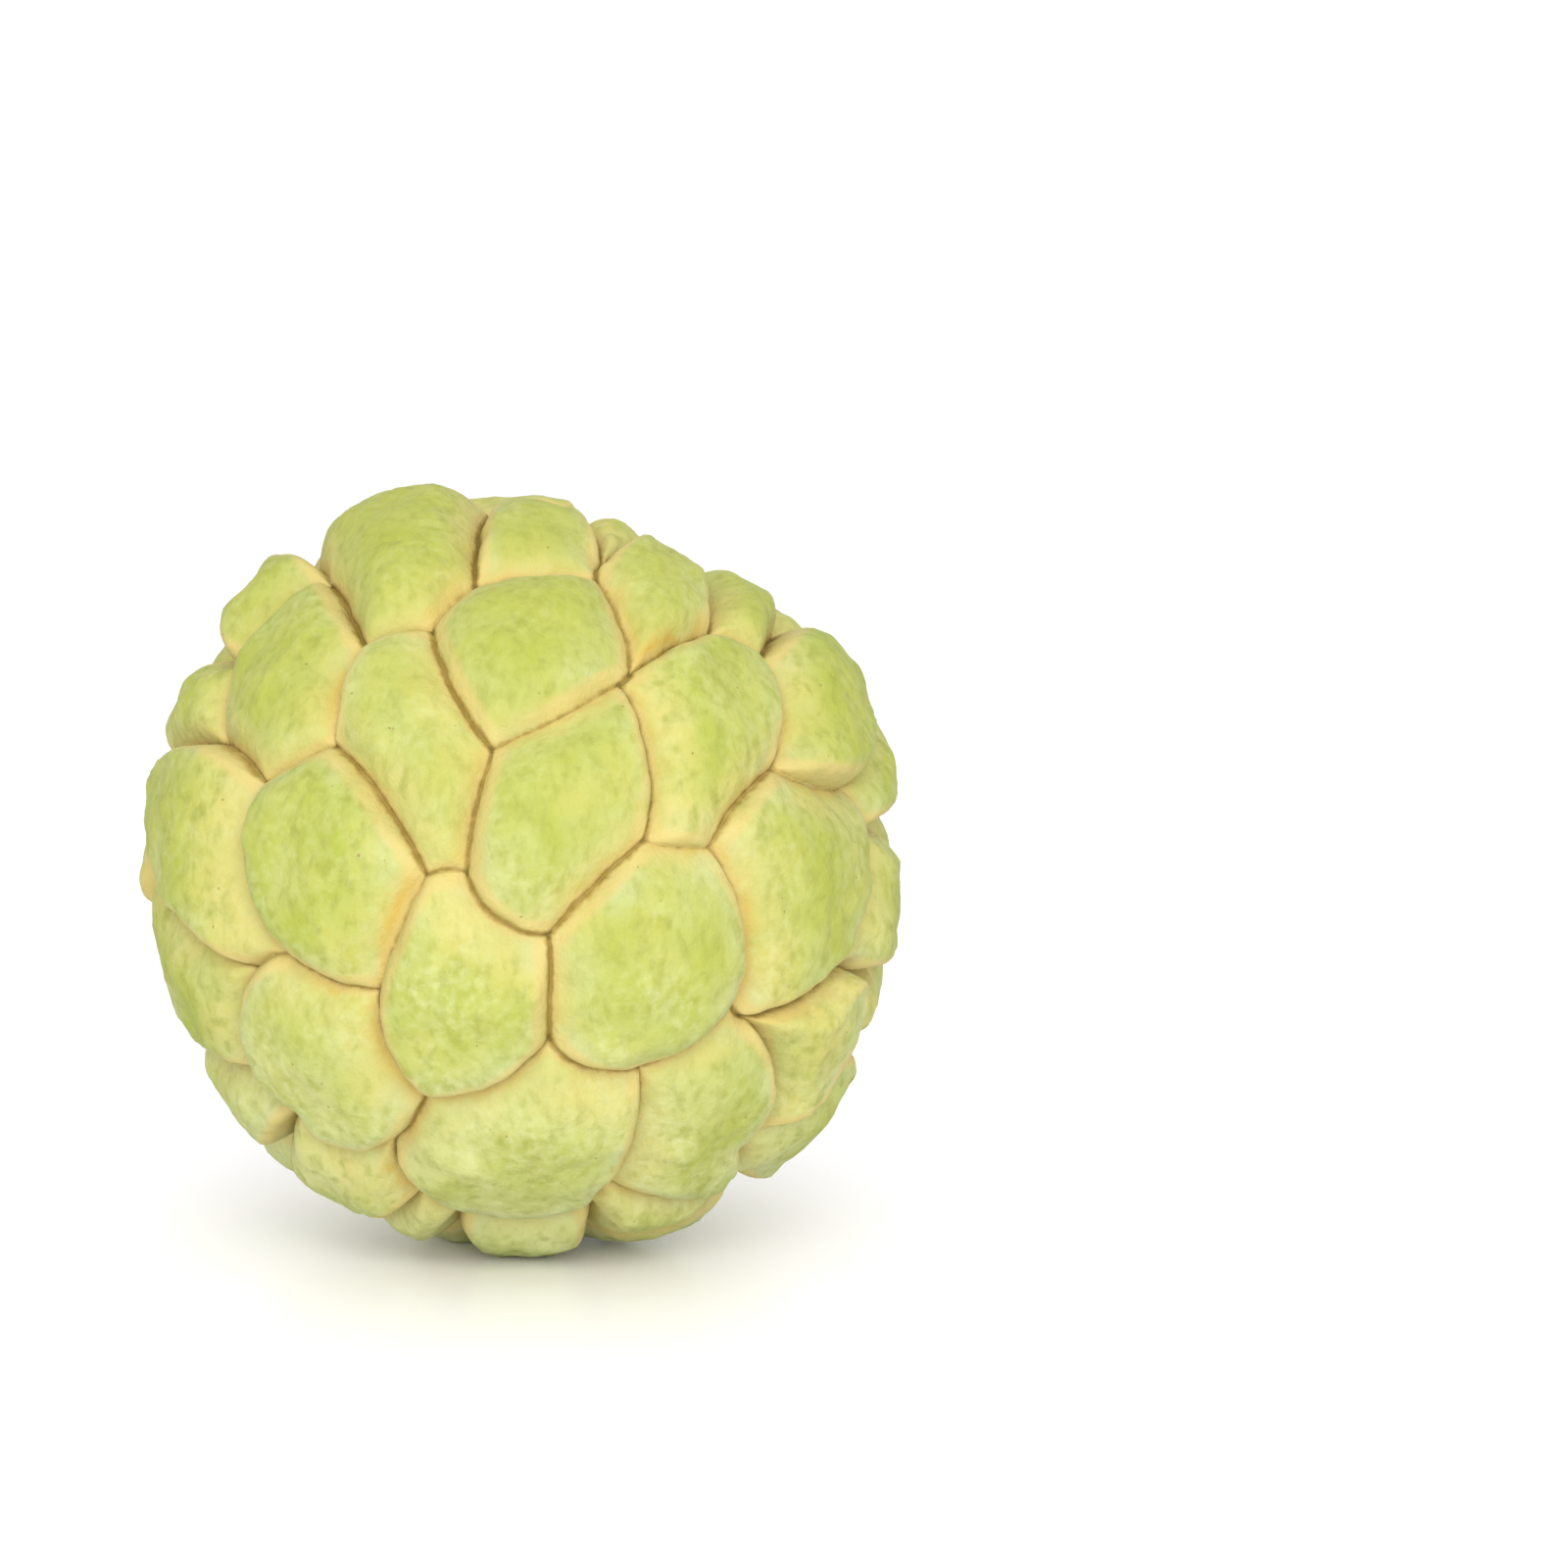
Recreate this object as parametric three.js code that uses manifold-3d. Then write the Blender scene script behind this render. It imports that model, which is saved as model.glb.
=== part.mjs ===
// A custard apple: one heavy, knobbly fruit and the woody stub of its stalk.
// Millimetres, +Z up. The fruit rests on z = 0 and its front looks along -Y.
import * as THREE from 'three';
import { mergeVertices } from 'three/addons/utils/BufferGeometryUtils.js';
import Module from 'manifold-3d';

const wasm = await Module();
wasm.setup();

// ---- Driving sizes -------------------------------------------------------------------------
const CORE = [40.2, 40.2, 40.3];    // half-axes of the egg that the bottoms of the cracks lie on
const CORE_HEIGHT = 44.0;           // its middle, above the surface the fruit rests on
const SWELLS = [                    // gentle bulges and dips: [from the eye, turn] deg, height, reach deg
  [82, 0, -0.9, 17], [82, 30, 0.9, 17], [82, 60, -2.6, 17], [82, 90, 0.8, 17], [82, 120, 1.9, 17],
  [82, 150, 0.1, 17], [82, 180, -0.3, 17], [82, 210, -0.8, 17], [82, 240, 0.3, 17], [82, 270, -1.9, 17],
  [82, 300, 1.7, 17], [82, 330, 0.3, 17], [84, 269, 1.6, 16], [0, 0, 0.8, 45],
];
const STEM_AT = [122, 70];          // where the stalk grows, past the shoulder: [from the eye, turn] deg
const STEM_HOLLOW = { depth: 6.5, reach: 23 };    // the dip round the stalk: mm, deg
const STEM_STAND = 1.6;             // how far the scale that carries the stalk stands up

const EYE_AWAY = 600;               // the front scales are placed as they show from an eye this far off
const EYE_RISE = 8;                 // and looking down by this many degrees,
const SPAN = 45;                    // on a ball of this radius,
const SEEN = 0.9965;                // of which the front runs out to this part of it.
const CRACK_DEPTH = 4.4;            // the corners between them lie this far below the ball in the middle,
const FLARE = 6;                    // and come up to it towards the outline, by this power
const CORNER_REACH = 48.5;            // how far round the shoulder the outermost front cracks run

const NEARNESS = 2.5;               // above 1: a point heeds its nearest crack more than the others
const FULLNESS = 0.9;               // below 1: steep sides and a broad top to each scale
const FLATNESS = 1.4;               // above 1: flatter still in the middle
const LEAN = 0.45;                  // how much steeper a scale is where it pushes over its neighbour,
const OVERLAP = 0.25;               // and how much steeper again per mm of bow

const SPIRAL = { count: 70, from: 0.2, clear: 17 };   // it starts off the scales of the back: points,
                                    // behind this part of the radius, and deg clear of the front ones
const HIDDEN_FROM = 0.15;           // hidden scales stay this far behind the middle, as a part of the radius
const SCALE_WIDTH = 25.5;           // deg, from the middle of one hidden scale to the next
const STEM_CROWDING = 0.66;         // next to the stalk they are this much closer
const CROWDING_REACH = 52;          // deg from the stalk over which that wears off
const SPREADING = { rounds: 200, push: 0.15, feel: 1.25 };   // how the hidden scales push each other apart
const NEIGHBOUR = 63;               // deg: middles further apart than this never share a corner
const HIDDEN_STAND = [4.0, 5.0];    // how far hidden scales stand up, least and most

const EDGE_STEP = 3;                // facets along the cracks
const RINGS = [[0.88, 1], [0.68, 1], [0.4, 2]];   // inner rings of a scale: [size, take every nth point]

const STALK = {                     // levels: [height above the scale it stands on, flare]
  radius: 3.9, ridge: 0.35, slant: 0.12, sides: 16,
  levels: [[-3.2, 0], [0, 1.3], [1.2, 0.3], [3.2, 0], [5.0, 0], [6.2, -0.35]],
};
const GAP = 0.3;                    // left between the stalk and its socket
const TABLE = [120, 120, 40];       // a block as wide as this cuts the resting flat

// The front scales: [across, up, stand] - where the middle shows, and how far it stands above the cracks.
const SCALES = {
  L: [-31.0, 33.5, 5.6], A: [-14.3, 36.6, 5.5], B: [2.0, 40.6, 3.9], C: [12.6, 43.6, 3.5],
  D: [17.0, 32.6, 4.2], E: [27.6, 31.0, 5.1], M: [-40.6, 20.4, 4.8], N: [-27.8, 23.0, 3.5],
  Q: [2.0, 25.5, 3.5], F: [36.4, 20.6, 5.2], W: [-39.9, 5.3, 4.9], V: [-21.5, -0.1, 3.9],
  P: [-11.9, 12.3, 3.0], R: [4.3, 6.2, 3.3], S: [22.0, 15.5, 3.2], G: [33.1, -0.1, 3.7],
  H: [45.2, 11.4, 4.9], Y: [-41.3, -10.6, 4.3], X: [-23.8, -21.5, 3.6], U: [-6.5, -13.4, 3.2],
  T: [14.0, -9.9, 3.5], I: [46.2, -3.9, 4.9], K2: [-34.0, -27.4, 4.5], Z1: [1.6, -31.3, 3.4],
  Z2: [20.1, -27.8, 3.6], Z3: [36.4, -22.4, 5.2], O: [43.0, -15.5, 4.4], K1: [-22.5, -36.3, 4.5],
  J1: [-12.6, -42.3, 4.4], J2: [0.6, -44.0, 4.9], J3: [16.2, -41.0, 4.0], Z4: [30.4, -33.0, 5.4],
};

// Where three front scales meet: [across, up].
const CORNERS = {
  'A B Q': [-5.7, 34.3], 'A P Q': [-10.8, 28.4], 'A N P': [-18.3, 26.1], 'A L N': [-23.3, 35.0],
  'N P V': [-21.7, 14.7], 'N W V': [-30.3, 10.3], 'N M W': [-36.5, 15.8], 'L M N': [-34.0, 25.5],
  'P Q R': [-3.6, 14.1], 'P U R': [-6.5, 0.1], 'P V U': [-11.1, -0.3], 'Q R S': [11.2, 21.8],
  'D Q S': [12.6, 23.2], 'D E S': [22.4, 28.4], 'E F S': [28.4, 25.3], 'F G S': [29.5, 12.0],
  'S G T': [21.6, 2.9], 'R S T': [14.1, 3.7], 'R U T': [3.0, -7.4], 'U T Z1': [3.0, -19.4],
  'T Z1 Z2': [13.7, -22.8], 'T G Z2': [24.5, -15.7], 'G Z2 Z3': [25.8, -17.1], 'V U X': [-16.5, -13.6],
  'U X Z1': [-11.3, -25.8], 'V W X': [-27.5, -9.3], 'W X Y': [-31.6, -11.3], 'B Q D': [8.8, 35.3],
  'B C D': [9.5, 37.2], 'F G H': [40.0, 10.6], 'G H I': [42.2, 5.3], 'G I Z3': [35.4, -12.6],
  'X K1 Z1': [-15.1, -31.8], 'X K1 K2': [-26.7, -27.8], 'X Y K2': [-31.0, -23.8], 'K1 J1 Z1': [-11.7, -38.4],
  'J1 J2 Z1': [-7.0, -41.1], 'J2 J3 Z1': [7.5, -39.8], 'Z1 Z2 J3': [9.7, -37.3], 'Z2 Z3 Z4': [26.1, -31.6],
  'Z2 J3 Z4': [24.7, -38.0], 'I O Z3': [39.3, -11.8], 'C D E': [22.0, 42.0],
};

// The cracks that run over the shoulder, by their turn round the outline, in degrees.
const SHOULDER_CRACKS = {
  'A B': 95, 'A L': 124.5, 'L M': 143, 'M W': 163, 'W Y': 171, 'Y K2': 206, 'K2 K1': 229, 'K1 J1': 244,
  'J1 J2': 261, 'J2 J3': 279, 'J3 Z4': 305.5, 'O I': 347, 'I H': 8, 'H F': 25, 'F E': 43, 'C B': 82,
};

// How far the first scale pushes its crack out over the second, mm.
const BOWS = {
  'V P': 1.1, 'Q P': 1.1, 'R P': 0.3, 'P N': 0.8, 'V N': 0.3, 'W N': 0.6, 'Q D': 0.6, 'D E': 0.5,
  'S F': 1.2, 'F G': 1.3, 'R S': 1.6, 'Q R': 0.3, 'S T': 0.5, 'T G': 2.2, 'U T': 0.2, 'T Z1': 1.8,
  'T Z2': 0.8, 'G Z3': 0.7, 'Z1 Z2': 1.3, 'R U': 2.1, 'V X': 1.1, 'U X': 1.4, 'X Z1': 0.6, 'U Z1': 2.0,
  'W Y': 1.4, 'X K1': 2.6, 'Z1 K1': 1.2, 'U V': 0.4, 'Y K2': 0.5, 'Z1 J2': 0.6, 'N L': 0.3, 'G I': 1.4,
  'F H': 0.5, 'B A': 0.3, 'N A': 0.3, 'Z2 Z3': 3.4, 'V W': 2.6, 'X Y': 1.5, 'Q A': 0.3, 'P A': 0.2,
  'Q B': 0.2, 'S D': 0.3, 'S E': 0.3, 'N M': 0.5, 'X W': 0.2, 'X K2': 0.8, 'Z1 J1': 0.6, 'Z1 J3': 0.5,
  'Z2 J3': 0.4, 'Z2 Z4': 0.4, 'J3 Z4': 0.3, 'Z3 Z4': 0.5, 'G H': 0.3,
};
const HIDDEN_BOW = [0.2, 1.8];      // bow of any other crack: least, and more per mm of difference in stand
const BOW_LIMIT = 0.25;             // most bow of a placed crack, as a part of its length,
const HIDDEN_BOW_LIMIT = 0.08;      // and of any other
const SETTLING = 12;                // rounds in which the free corners even out between the placed ones

const names = Object.keys(SCALES);

// ---- Directions ----------------------------------------------------------------------------
const rad = THREE.MathUtils.degToRad;
const ROUNDING = 1e-7;              // what two equal sums may differ by
const RIGHT = new THREE.Vector3(1, 0, 0);
const UP = new THREE.Vector3(0, Math.sin(rad(EYE_RISE)), Math.cos(rad(EYE_RISE)));
const AWAY = new THREE.Vector3(0, Math.cos(rad(EYE_RISE)), -Math.sin(rad(EYE_RISE)));

const mix = (x, away, z) => new THREE.Vector3()
  .addScaledVector(RIGHT, x).addScaledVector(AWAY, away).addScaledVector(UP, z);

// A direction by its angle from the line to the eye and its turn from the right hand side, in degrees.
function towards(fromEye, turn) {
  const side = Math.sin(rad(fromEye));
  return mix(side * Math.cos(rad(turn)), -Math.cos(rad(fromEye)), side * Math.sin(rad(turn)));
}

// The direction of what shows at (across, up) on the ball, or depth below it where the ball is nearest.
// Past SPAN it goes on round the back.
function front(across, up, depth = 0) {
  const out = Math.hypot(across, up);
  const seen = Math.min(out, SPAN * SEEN);
  const ball = SPAN - depth * (1 - (seen / SPAN) ** FLARE);
  const slant = Math.atan(seen / EYE_AWAY);
  const round = Math.asin(EYE_AWAY * Math.sin(slant) / ball) - slant + Math.max(0, out - SPAN) / SPAN;
  const side = Math.sin(round) / out;
  return mix(across * side, -Math.cos(round), up * side);
}

const STEM = towards(...STEM_AT);
const fraction = (x) => x - Math.floor(x);
const draw = (i) => fraction(Math.sin((i + 1) * 12.9898) * 43758.5453);   // a fixed draw, 0 to 1
const bump = (d, axis, reach) => Math.exp(-((d.angleTo(axis) / rad(reach)) ** 2));

// How far the bottom of a crack lies from the middle of the fruit, along d.
function core(d) {
  let r = 1 / Math.hypot(d.x / CORE[0], d.y / CORE[1], d.z / CORE[2]);
  for (const [fromEye, turn, height, reach] of SWELLS) r += height * bump(d, towards(fromEye, turn), reach);
  return r - STEM_HOLLOW.depth * bump(d, STEM, STEM_HOLLOW.reach);
}

// ---- Scales and the cracks between them ------------------------------------------------------
// The middles of all the scales: the front ones as placed, one under the stalk, and on the back a
// spiral of points that push each other apart until they are evenly spaced.
function placeMiddles() {
  const middles = Object.values(SCALES).map(([across, up]) => front(across, up));
  middles.push(STEM.clone());
  const fixed = middles.length;
  const golden = Math.PI * (3 - Math.sqrt(5));
  for (let i = 0; i < SPIRAL.count; i++) {
    const away = 1 - 2 * (i + 0.5) / SPIRAL.count;
    const side = Math.sqrt(1 - away * away);
    const d = mix(side * Math.cos(i * golden), away, side * Math.sin(i * golden));
    const clear = middles.slice(0, fixed).every((m) => m.angleTo(d) > rad(SPIRAL.clear));
    if (away > SPIRAL.from && clear) middles.push(d);
  }
  for (let round = 0; round < SPREADING.rounds; round++) {
    const moves = middles.map((middle, i) => {
      const move = new THREE.Vector3();
      if (i < fixed) return move;
      const worn = Math.min(1, middle.angleTo(STEM) / rad(CROWDING_REACH));
      const width = rad(SCALE_WIDTH) * (STEM_CROWDING + (1 - STEM_CROWDING) * worn) * SPREADING.feel;
      middles.forEach((other, j) => {
        const apart = middle.clone().sub(other);
        const far = apart.length();
        if (j !== i && far < width) move.addScaledVector(apart, (width - far) / far * SPREADING.push);
      });
      return move;
    });
    middles.forEach((middle, i) => {
      middle.add(moves[i]).normalize();
      if (i < fixed) return;
      const short = Math.max(0, HIDDEN_FROM - middle.dot(AWAY));
      middle.addScaledVector(AWAY, short).normalize();
    });
  }
  return { middles, fixed };
}

// Three scales meet where no other scale's middle is nearer: on the axis of the circle through theirs.
function meetingPoints(middles) {
  const found = [];
  const near = (a, b) => a.dot(b) > Math.cos(rad(NEIGHBOUR));
  middles.forEach((a, i) => {
    for (let j = i + 1; j < middles.length; j++) {
      if (!near(a, middles[j])) continue;
      for (let k = j + 1; k < middles.length; k++) {
        if (!near(a, middles[k]) || !near(middles[j], middles[k])) continue;
        const axis = middles[j].clone().sub(a).cross(middles[k].clone().sub(a)).normalize();
        if (axis.dot(a) < 0) axis.negate();
        const limit = axis.dot(a) + ROUNDING;
        if (middles.every((m) => m.dot(axis) <= limit)) found.push({ scales: [i, j, k], at: axis });
      }
    }
  });
  return found;
}

const keyOf = (indices) => [...indices].sort((a, b) => a - b).join();
const keyed = (table) => new Map(Object.entries(table)
  .map(([key, value]) => [keyOf(key.split(' ').map((name) => names.indexOf(name))), value]));

// The cracks: each joins two corners and parts a pair of scales.
function findCracks(corners) {
  const cracks = new Map();
  corners.forEach(({ scales: [a, b, c] }, corner) => {
    for (const pair of [[a, b], [a, c], [b, c]]) {
      const key = keyOf(pair);
      if (!cracks.has(key)) cracks.set(key, { pair, ends: [] });
      cracks.get(key).ends.push(corner);
    }
  });
  return [...cracks.values()];
}

// Puts the placed corners in their places, and evens out the others between them.
function settleCorners(corners, cracks) {
  const known = keyed(CORNERS);
  const shoulder = keyed(SHOULDER_CRACKS);
  const free = [];
  for (const corner of corners) {
    const fronts = corner.scales.filter((i) => i < names.length);
    const turn = fronts.length === 2 ? shoulder.get(keyOf(fronts)) : undefined;
    const seat = known.get(keyOf(corner.scales));
    if (seat) corner.at = front(...seat, CRACK_DEPTH);
    else if (turn !== undefined) {
      corner.at = front(CORNER_REACH * Math.cos(rad(turn)), CORNER_REACH * Math.sin(rad(turn)));
    } else free.push(corner);
    corner.next = [];
  }
  for (const { ends: [a, b] } of cracks) {
    corners[a].next.push(corners[b]);
    corners[b].next.push(corners[a]);
  }
  for (let round = 0; round < SETTLING; round++) {
    const moved = free.map(({ at, next }) => {
      const place = at.clone();
      for (const other of next) place.addScaledVector(other.at, 1 / 3);
      return place.normalize();
    });
    free.forEach((corner, i) => { corner.at = moved[i]; });
  }
}

// Which scale of each crack pushes over the other, and how far it bows the crack.
function bowCracks(cracks, corners, stands) {
  const pushing = new Map(Object.entries(BOWS).map(([key, bow]) => {
    const pair = key.split(' ').map((name) => names.indexOf(name));
    return [keyOf(pair), { over: pair[0], under: pair[1], bow, limit: BOW_LIMIT }];
  }));
  for (const crack of cracks) {
    const [over, under] = [...crack.pair].sort((a, b) => stands[b] - stands[a]);
    const bow = HIDDEN_BOW[0] + HIDDEN_BOW[1] * (stands[over] - stands[under]);
    Object.assign(crack, pushing.get(keyOf(crack.pair)) ?? { over, under, bow, limit: HIDDEN_BOW_LIMIT });
    const [p, q] = crack.ends.map((end) => corners[end].at);
    crack.length = p.distanceTo(q) * SPAN;
    crack.bow = Math.min(crack.bow, crack.limit * crack.length);
  }
}

// ---- The fruit ------------------------------------------------------------------------------
// Points of one mesh: a direction and how far above the crack bottoms it stands.
const points = [];
const faces = [];
const addPoint = (direction, height) => points.push({ direction, height }) - 1;

// The points of one crack, bowed towards the scale it is pushed over.
function layCrack(crack, corners, middles, cornerPoints) {
  const [p, q] = crack.ends.map((end) => corners[end].at);
  const half = p.clone().add(q).normalize();
  const along = q.clone().sub(p).normalize();
  const side = middles[crack.under].clone().sub(middles[crack.over]);
  side.addScaledVector(half, -side.dot(half)).addScaledVector(along, -side.dot(along)).normalize();
  const steps = Math.max(2, 2 * Math.round(crack.length / EDGE_STEP / 2));
  crack.run = [cornerPoints[crack.ends[0]]];
  for (let k = 1; k < steps; k++) {
    const s = k / steps;
    const bow = 4 * s * (1 - s) * crack.bow / SPAN;
    crack.run.push(addPoint(p.clone().lerp(q, s).addScaledVector(side, bow).normalize(), 0));
  }
  crack.run.push(cornerPoints[crack.ends[1]]);
}

// The closed loop of crack points round one scale, anticlockwise from outside.
function rimOf(cracks) {
  const left = [...cracks];
  const rim = [...left.shift().run];
  while (left.length) {
    const last = rim.at(-1);
    const next = left.findIndex(({ run }) => run[0] === last || run.at(-1) === last);
    const { run } = left.splice(next, 1)[0];
    rim.push(...(run[0] === last ? run : [...run].reverse()).slice(1));
  }
  rim.pop();
  const middle = new THREE.Vector3();
  for (const i of rim) middle.add(points[i].direction);
  middle.normalize();
  const turning = new THREE.Vector3();
  rim.forEach((i, k) => {
    const next = points[rim[(k + 1) % rim.length]].direction;
    turning.add(points[i].direction.clone().cross(next));
  });
  if (turning.dot(middle) < 0) rim.reverse();
  return { rim, middle };
}

// Closeness to the cracks round a scale, from one over the distance to each.
function closeness(d, scale, cracks) {
  const here = d.clone().multiplyScalar(SPAN);
  const nearest = new THREE.Vector3();
  let sum = 0;
  for (const { run, over, bow } of cracks) {
    let distance = Infinity;
    for (let k = 1; k < run.length; k++) {
      const piece = new THREE.Line3(points[run[k - 1]].direction, points[run[k]].direction);
      piece.closestPointToPoint(d, true, nearest);
      distance = Math.min(distance, nearest.multiplyScalar(SPAN).distanceTo(here));
    }
    const lean = (over === scale ? 1 : -1) * (LEAN + OVERLAP * bow);
    sum += Math.max(ROUNDING, distance * Math.exp(lean)) ** -NEARNESS;
  }
  return sum ** (1 / NEARNESS);
}

// Height of a scale as a part of its full stand: 0 at the cracks, 1 in the middle.
const swell = (part) => (1 - (1 - Math.min(1, part)) ** FLATNESS) ** FULLNESS;

// One scale: rings of points from its rim to its middle.
function raiseScale(scale, cracks, stand) {
  const { rim, middle } = rimOf(cracks);
  const atMiddle = closeness(middle, scale, cracks);
  let outer = rim;
  for (const [size, every] of RINGS) {
    const inner = rim.filter((_, k) => k % every === 0).map((i) => {
      const d = middle.clone().lerp(points[i].direction, size).normalize();
      return addPoint(d, stand * swell(atMiddle / closeness(d, scale, cracks)));
    });
    joinRings(outer, inner);
    outer = inner;
  }
  const top = addPoint(middle, stand);
  outer.forEach((i, k) => faces.push([i, outer[(k + 1) % outer.length], top]));
}

// Faces between two rings, where the inner ring has as many points as the outer one or half as many.
function joinRings(outer, inner) {
  const every = outer.length / inner.length;
  inner.forEach((i, k) => {
    const next = inner[(k + 1) % inner.length];
    const a = outer[k * every];
    const c = outer[(k + 1) * every % outer.length];
    if (every === 1) faces.push([a, c, next], [a, next, i]);
    else {
      const b = outer[k * every + 1];
      faces.push([a, b, i], [b, next, i], [b, c, next]);
    }
  });
}

function growFruit() {
  const { middles, fixed } = placeMiddles();
  const [least, most] = HIDDEN_STAND;
  const stands = middles.map((_, i) => {
    if (i < names.length) return SCALES[names[i]][2];
    return i < fixed ? STEM_STAND : least + (most - least) * draw(i - fixed);
  });
  const corners = meetingPoints(middles);
  const cracks = findCracks(corners);
  settleCorners(corners, cracks);
  bowCracks(cracks, corners, stands);
  const cornerPoints = corners.map(({ at }) => addPoint(at, 0));
  for (const crack of cracks) layCrack(crack, corners, middles, cornerPoints);
  middles.forEach((_, scale) => {
    raiseScale(scale, cracks.filter(({ pair }) => pair.includes(scale)), stands[scale]);
  });
  const geometry = new THREE.BufferGeometry();
  const places = points.flatMap(({ direction, height }) => direction.clone()
    .multiplyScalar(core(direction) + height).toArray());
  geometry.setAttribute('position', new THREE.Float32BufferAttribute(places, 3));
  geometry.setIndex(faces.flat());
  return geometry;
}

// ---- The stalk --------------------------------------------------------------------------------
// A short stub along +Z: ridged, flared where it joins the fruit, cut a little askew. grow makes it
// that much bigger all round.
function stalkGeometry(grow) {
  const { radius, ridge, slant, sides, levels } = STALK;
  const rings = levels.map(([z, flare], level) => {
    const top = level === levels.length - 1;
    const height = z + (top ? grow : 0) - (level === 0 ? grow : 0);
    return Array.from({ length: sides }, (_, k) => {
      const turn = 2 * Math.PI * k / sides;
      const r = radius + flare + grow + (k % 2 ? ridge : 0) + ridge * Math.cos(2 * turn);
      return [r * Math.cos(turn), r * Math.sin(turn), height + (top ? slant * r * Math.cos(turn) : 0)];
    });
  });
  const places = [...rings.flat(), [0, 0, rings[0][0][2]], [0, 0, levels.at(-1)[0] + grow]];
  const bottomMiddle = rings.length * sides;
  const index = [];
  for (let k = 0; k < sides; k++) {
    const next = (k + 1) % sides;
    index.push(bottomMiddle, next, k);
    for (let low = 0; low < bottomMiddle - sides; low += sides) {
      const high = low + sides;
      index.push(low + k, low + next, high + next, low + k, high + next, high + k);
    }
    const last = bottomMiddle - sides;
    index.push(bottomMiddle + 1, last + k, last + next);
  }
  const geometry = new THREE.BufferGeometry();
  geometry.setAttribute('position', new THREE.Float32BufferAttribute(places.flat(), 3));
  geometry.setIndex(index);
  return geometry;
}

// ---- Joining and cutting ------------------------------------------------------------------------
function solidOf(geometry) {
  const bare = geometry.clone();
  bare.deleteAttribute('normal');
  bare.deleteAttribute('uv');
  const merged = mergeVertices(bare);
  return new wasm.Manifold(new wasm.Mesh({
    numProp: 3,
    vertProperties: new Float32Array(merged.attributes.position.array),
    triVerts: new Uint32Array(merged.index.array),
  }));
}

function geometryOf(solid) {
  const { vertProperties, triVerts } = solid.getMesh();
  const geometry = new THREE.BufferGeometry();
  geometry.setAttribute('position', new THREE.Float32BufferAttribute(vertProperties, 3));
  geometry.setIndex([...triVerts]);
  geometry.computeVertexNormals();
  return geometry;
}

// The stalk's place: its root sinks into the scale at the bottom of the hollow.
const stalkPlace = new THREE.Matrix4().compose(
  STEM.clone().multiplyScalar(core(STEM) + STEM_STAND),
  new THREE.Quaternion().setFromUnitVectors(new THREE.Vector3(0, 0, 1), STEM),
  new THREE.Vector3(1, 1, 1),
);

const whole = solidOf(growFruit());
const socket = solidOf(stalkGeometry(GAP).applyMatrix4(stalkPlace));
const table = new THREE.BoxGeometry(...TABLE).translate(0, 0, -CORE_HEIGHT - TABLE[2] / 2);
const fruitSolid = whole.subtract(socket).subtract(solidOf(table));

// The middle of the fruit's box stands over the origin.
const box = new THREE.Box3().setFromBufferAttribute(geometryOf(fruitSolid).attributes.position);
const shift = new THREE.Vector3(-(box.min.x + box.max.x) / 2, -(box.min.y + box.max.y) / 2, CORE_HEIGHT);

const rind = new THREE.MeshStandardMaterial({ color: 0xc3cb6e, roughness: 0.6, metalness: 0 });
const wood = new THREE.MeshStandardMaterial({ color: 0x6e5a3c, roughness: 0.85, metalness: 0 });

const fruit = new THREE.Mesh(geometryOf(fruitSolid), rind);
fruit.name = 'fruit';
fruit.position.copy(shift);

const stalk = new THREE.Mesh(stalkGeometry(0), wood);
stalk.name = 'stalk';
stalk.applyMatrix4(stalkPlace);
stalk.position.add(shift);

const group = new THREE.Group();
group.add(fruit, stalk);

export default group;
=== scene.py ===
# %% [markdown]
# # A custard apple
# A custard apple is one flower's worth of berries grown together into a heavy ball. Every berry ends
# in one rounded scale, so the rind is a patchwork of about sixty scales with tight cracks between.
# This notebook builds that rind, the woody stub of the stalk, the corky specks, the materials and a
# plain studio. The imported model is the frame: every piece stands in its place and at its size.

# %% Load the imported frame
import math

import bpy
import numpy as np
from mathutils import Matrix, Vector


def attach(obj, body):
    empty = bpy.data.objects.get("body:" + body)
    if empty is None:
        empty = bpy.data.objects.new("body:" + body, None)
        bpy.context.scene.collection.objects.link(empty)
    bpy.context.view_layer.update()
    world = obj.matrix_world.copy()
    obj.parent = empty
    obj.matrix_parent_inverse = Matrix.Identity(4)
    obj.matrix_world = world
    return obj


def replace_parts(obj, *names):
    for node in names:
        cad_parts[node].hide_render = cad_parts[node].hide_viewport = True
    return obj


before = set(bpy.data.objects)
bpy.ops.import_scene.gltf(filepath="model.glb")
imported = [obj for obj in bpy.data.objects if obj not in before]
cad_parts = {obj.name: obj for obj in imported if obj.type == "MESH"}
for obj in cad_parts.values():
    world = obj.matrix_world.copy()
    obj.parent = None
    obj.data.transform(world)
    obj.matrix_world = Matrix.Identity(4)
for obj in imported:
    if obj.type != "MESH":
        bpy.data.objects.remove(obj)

MM = 0.001
scene = bpy.context.scene
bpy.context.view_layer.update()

# %% [markdown]
# ## The front of the fruit, as an eye sees it
# The scales of the front each have their own shape, so they are placed one by one, as they show to
# an eye 600 mm away that looks down by 8 degrees. A ball of 45 mm radius carries them: `front` turns
# a place in that view of the ball into a direction from its middle. They could be drawn as curves on
# the surface instead, but directions keep working wherever the surface goes later.

# %% Directions from the middle of the fruit
EYE_AWAY = 600           # mm from the eye to the middle of the fruit
EYE_RISE = math.radians(8)
SPAN = 45                # mm, radius of the ball that carries the scales
SEEN = 0.9965            # the front runs out to this part of it
CRACK_DEPTH = 4.4        # mm, corners lie this far below the ball in the middle of the front,
FLARE = 6                # and come up to it towards the outline, by this power

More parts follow.
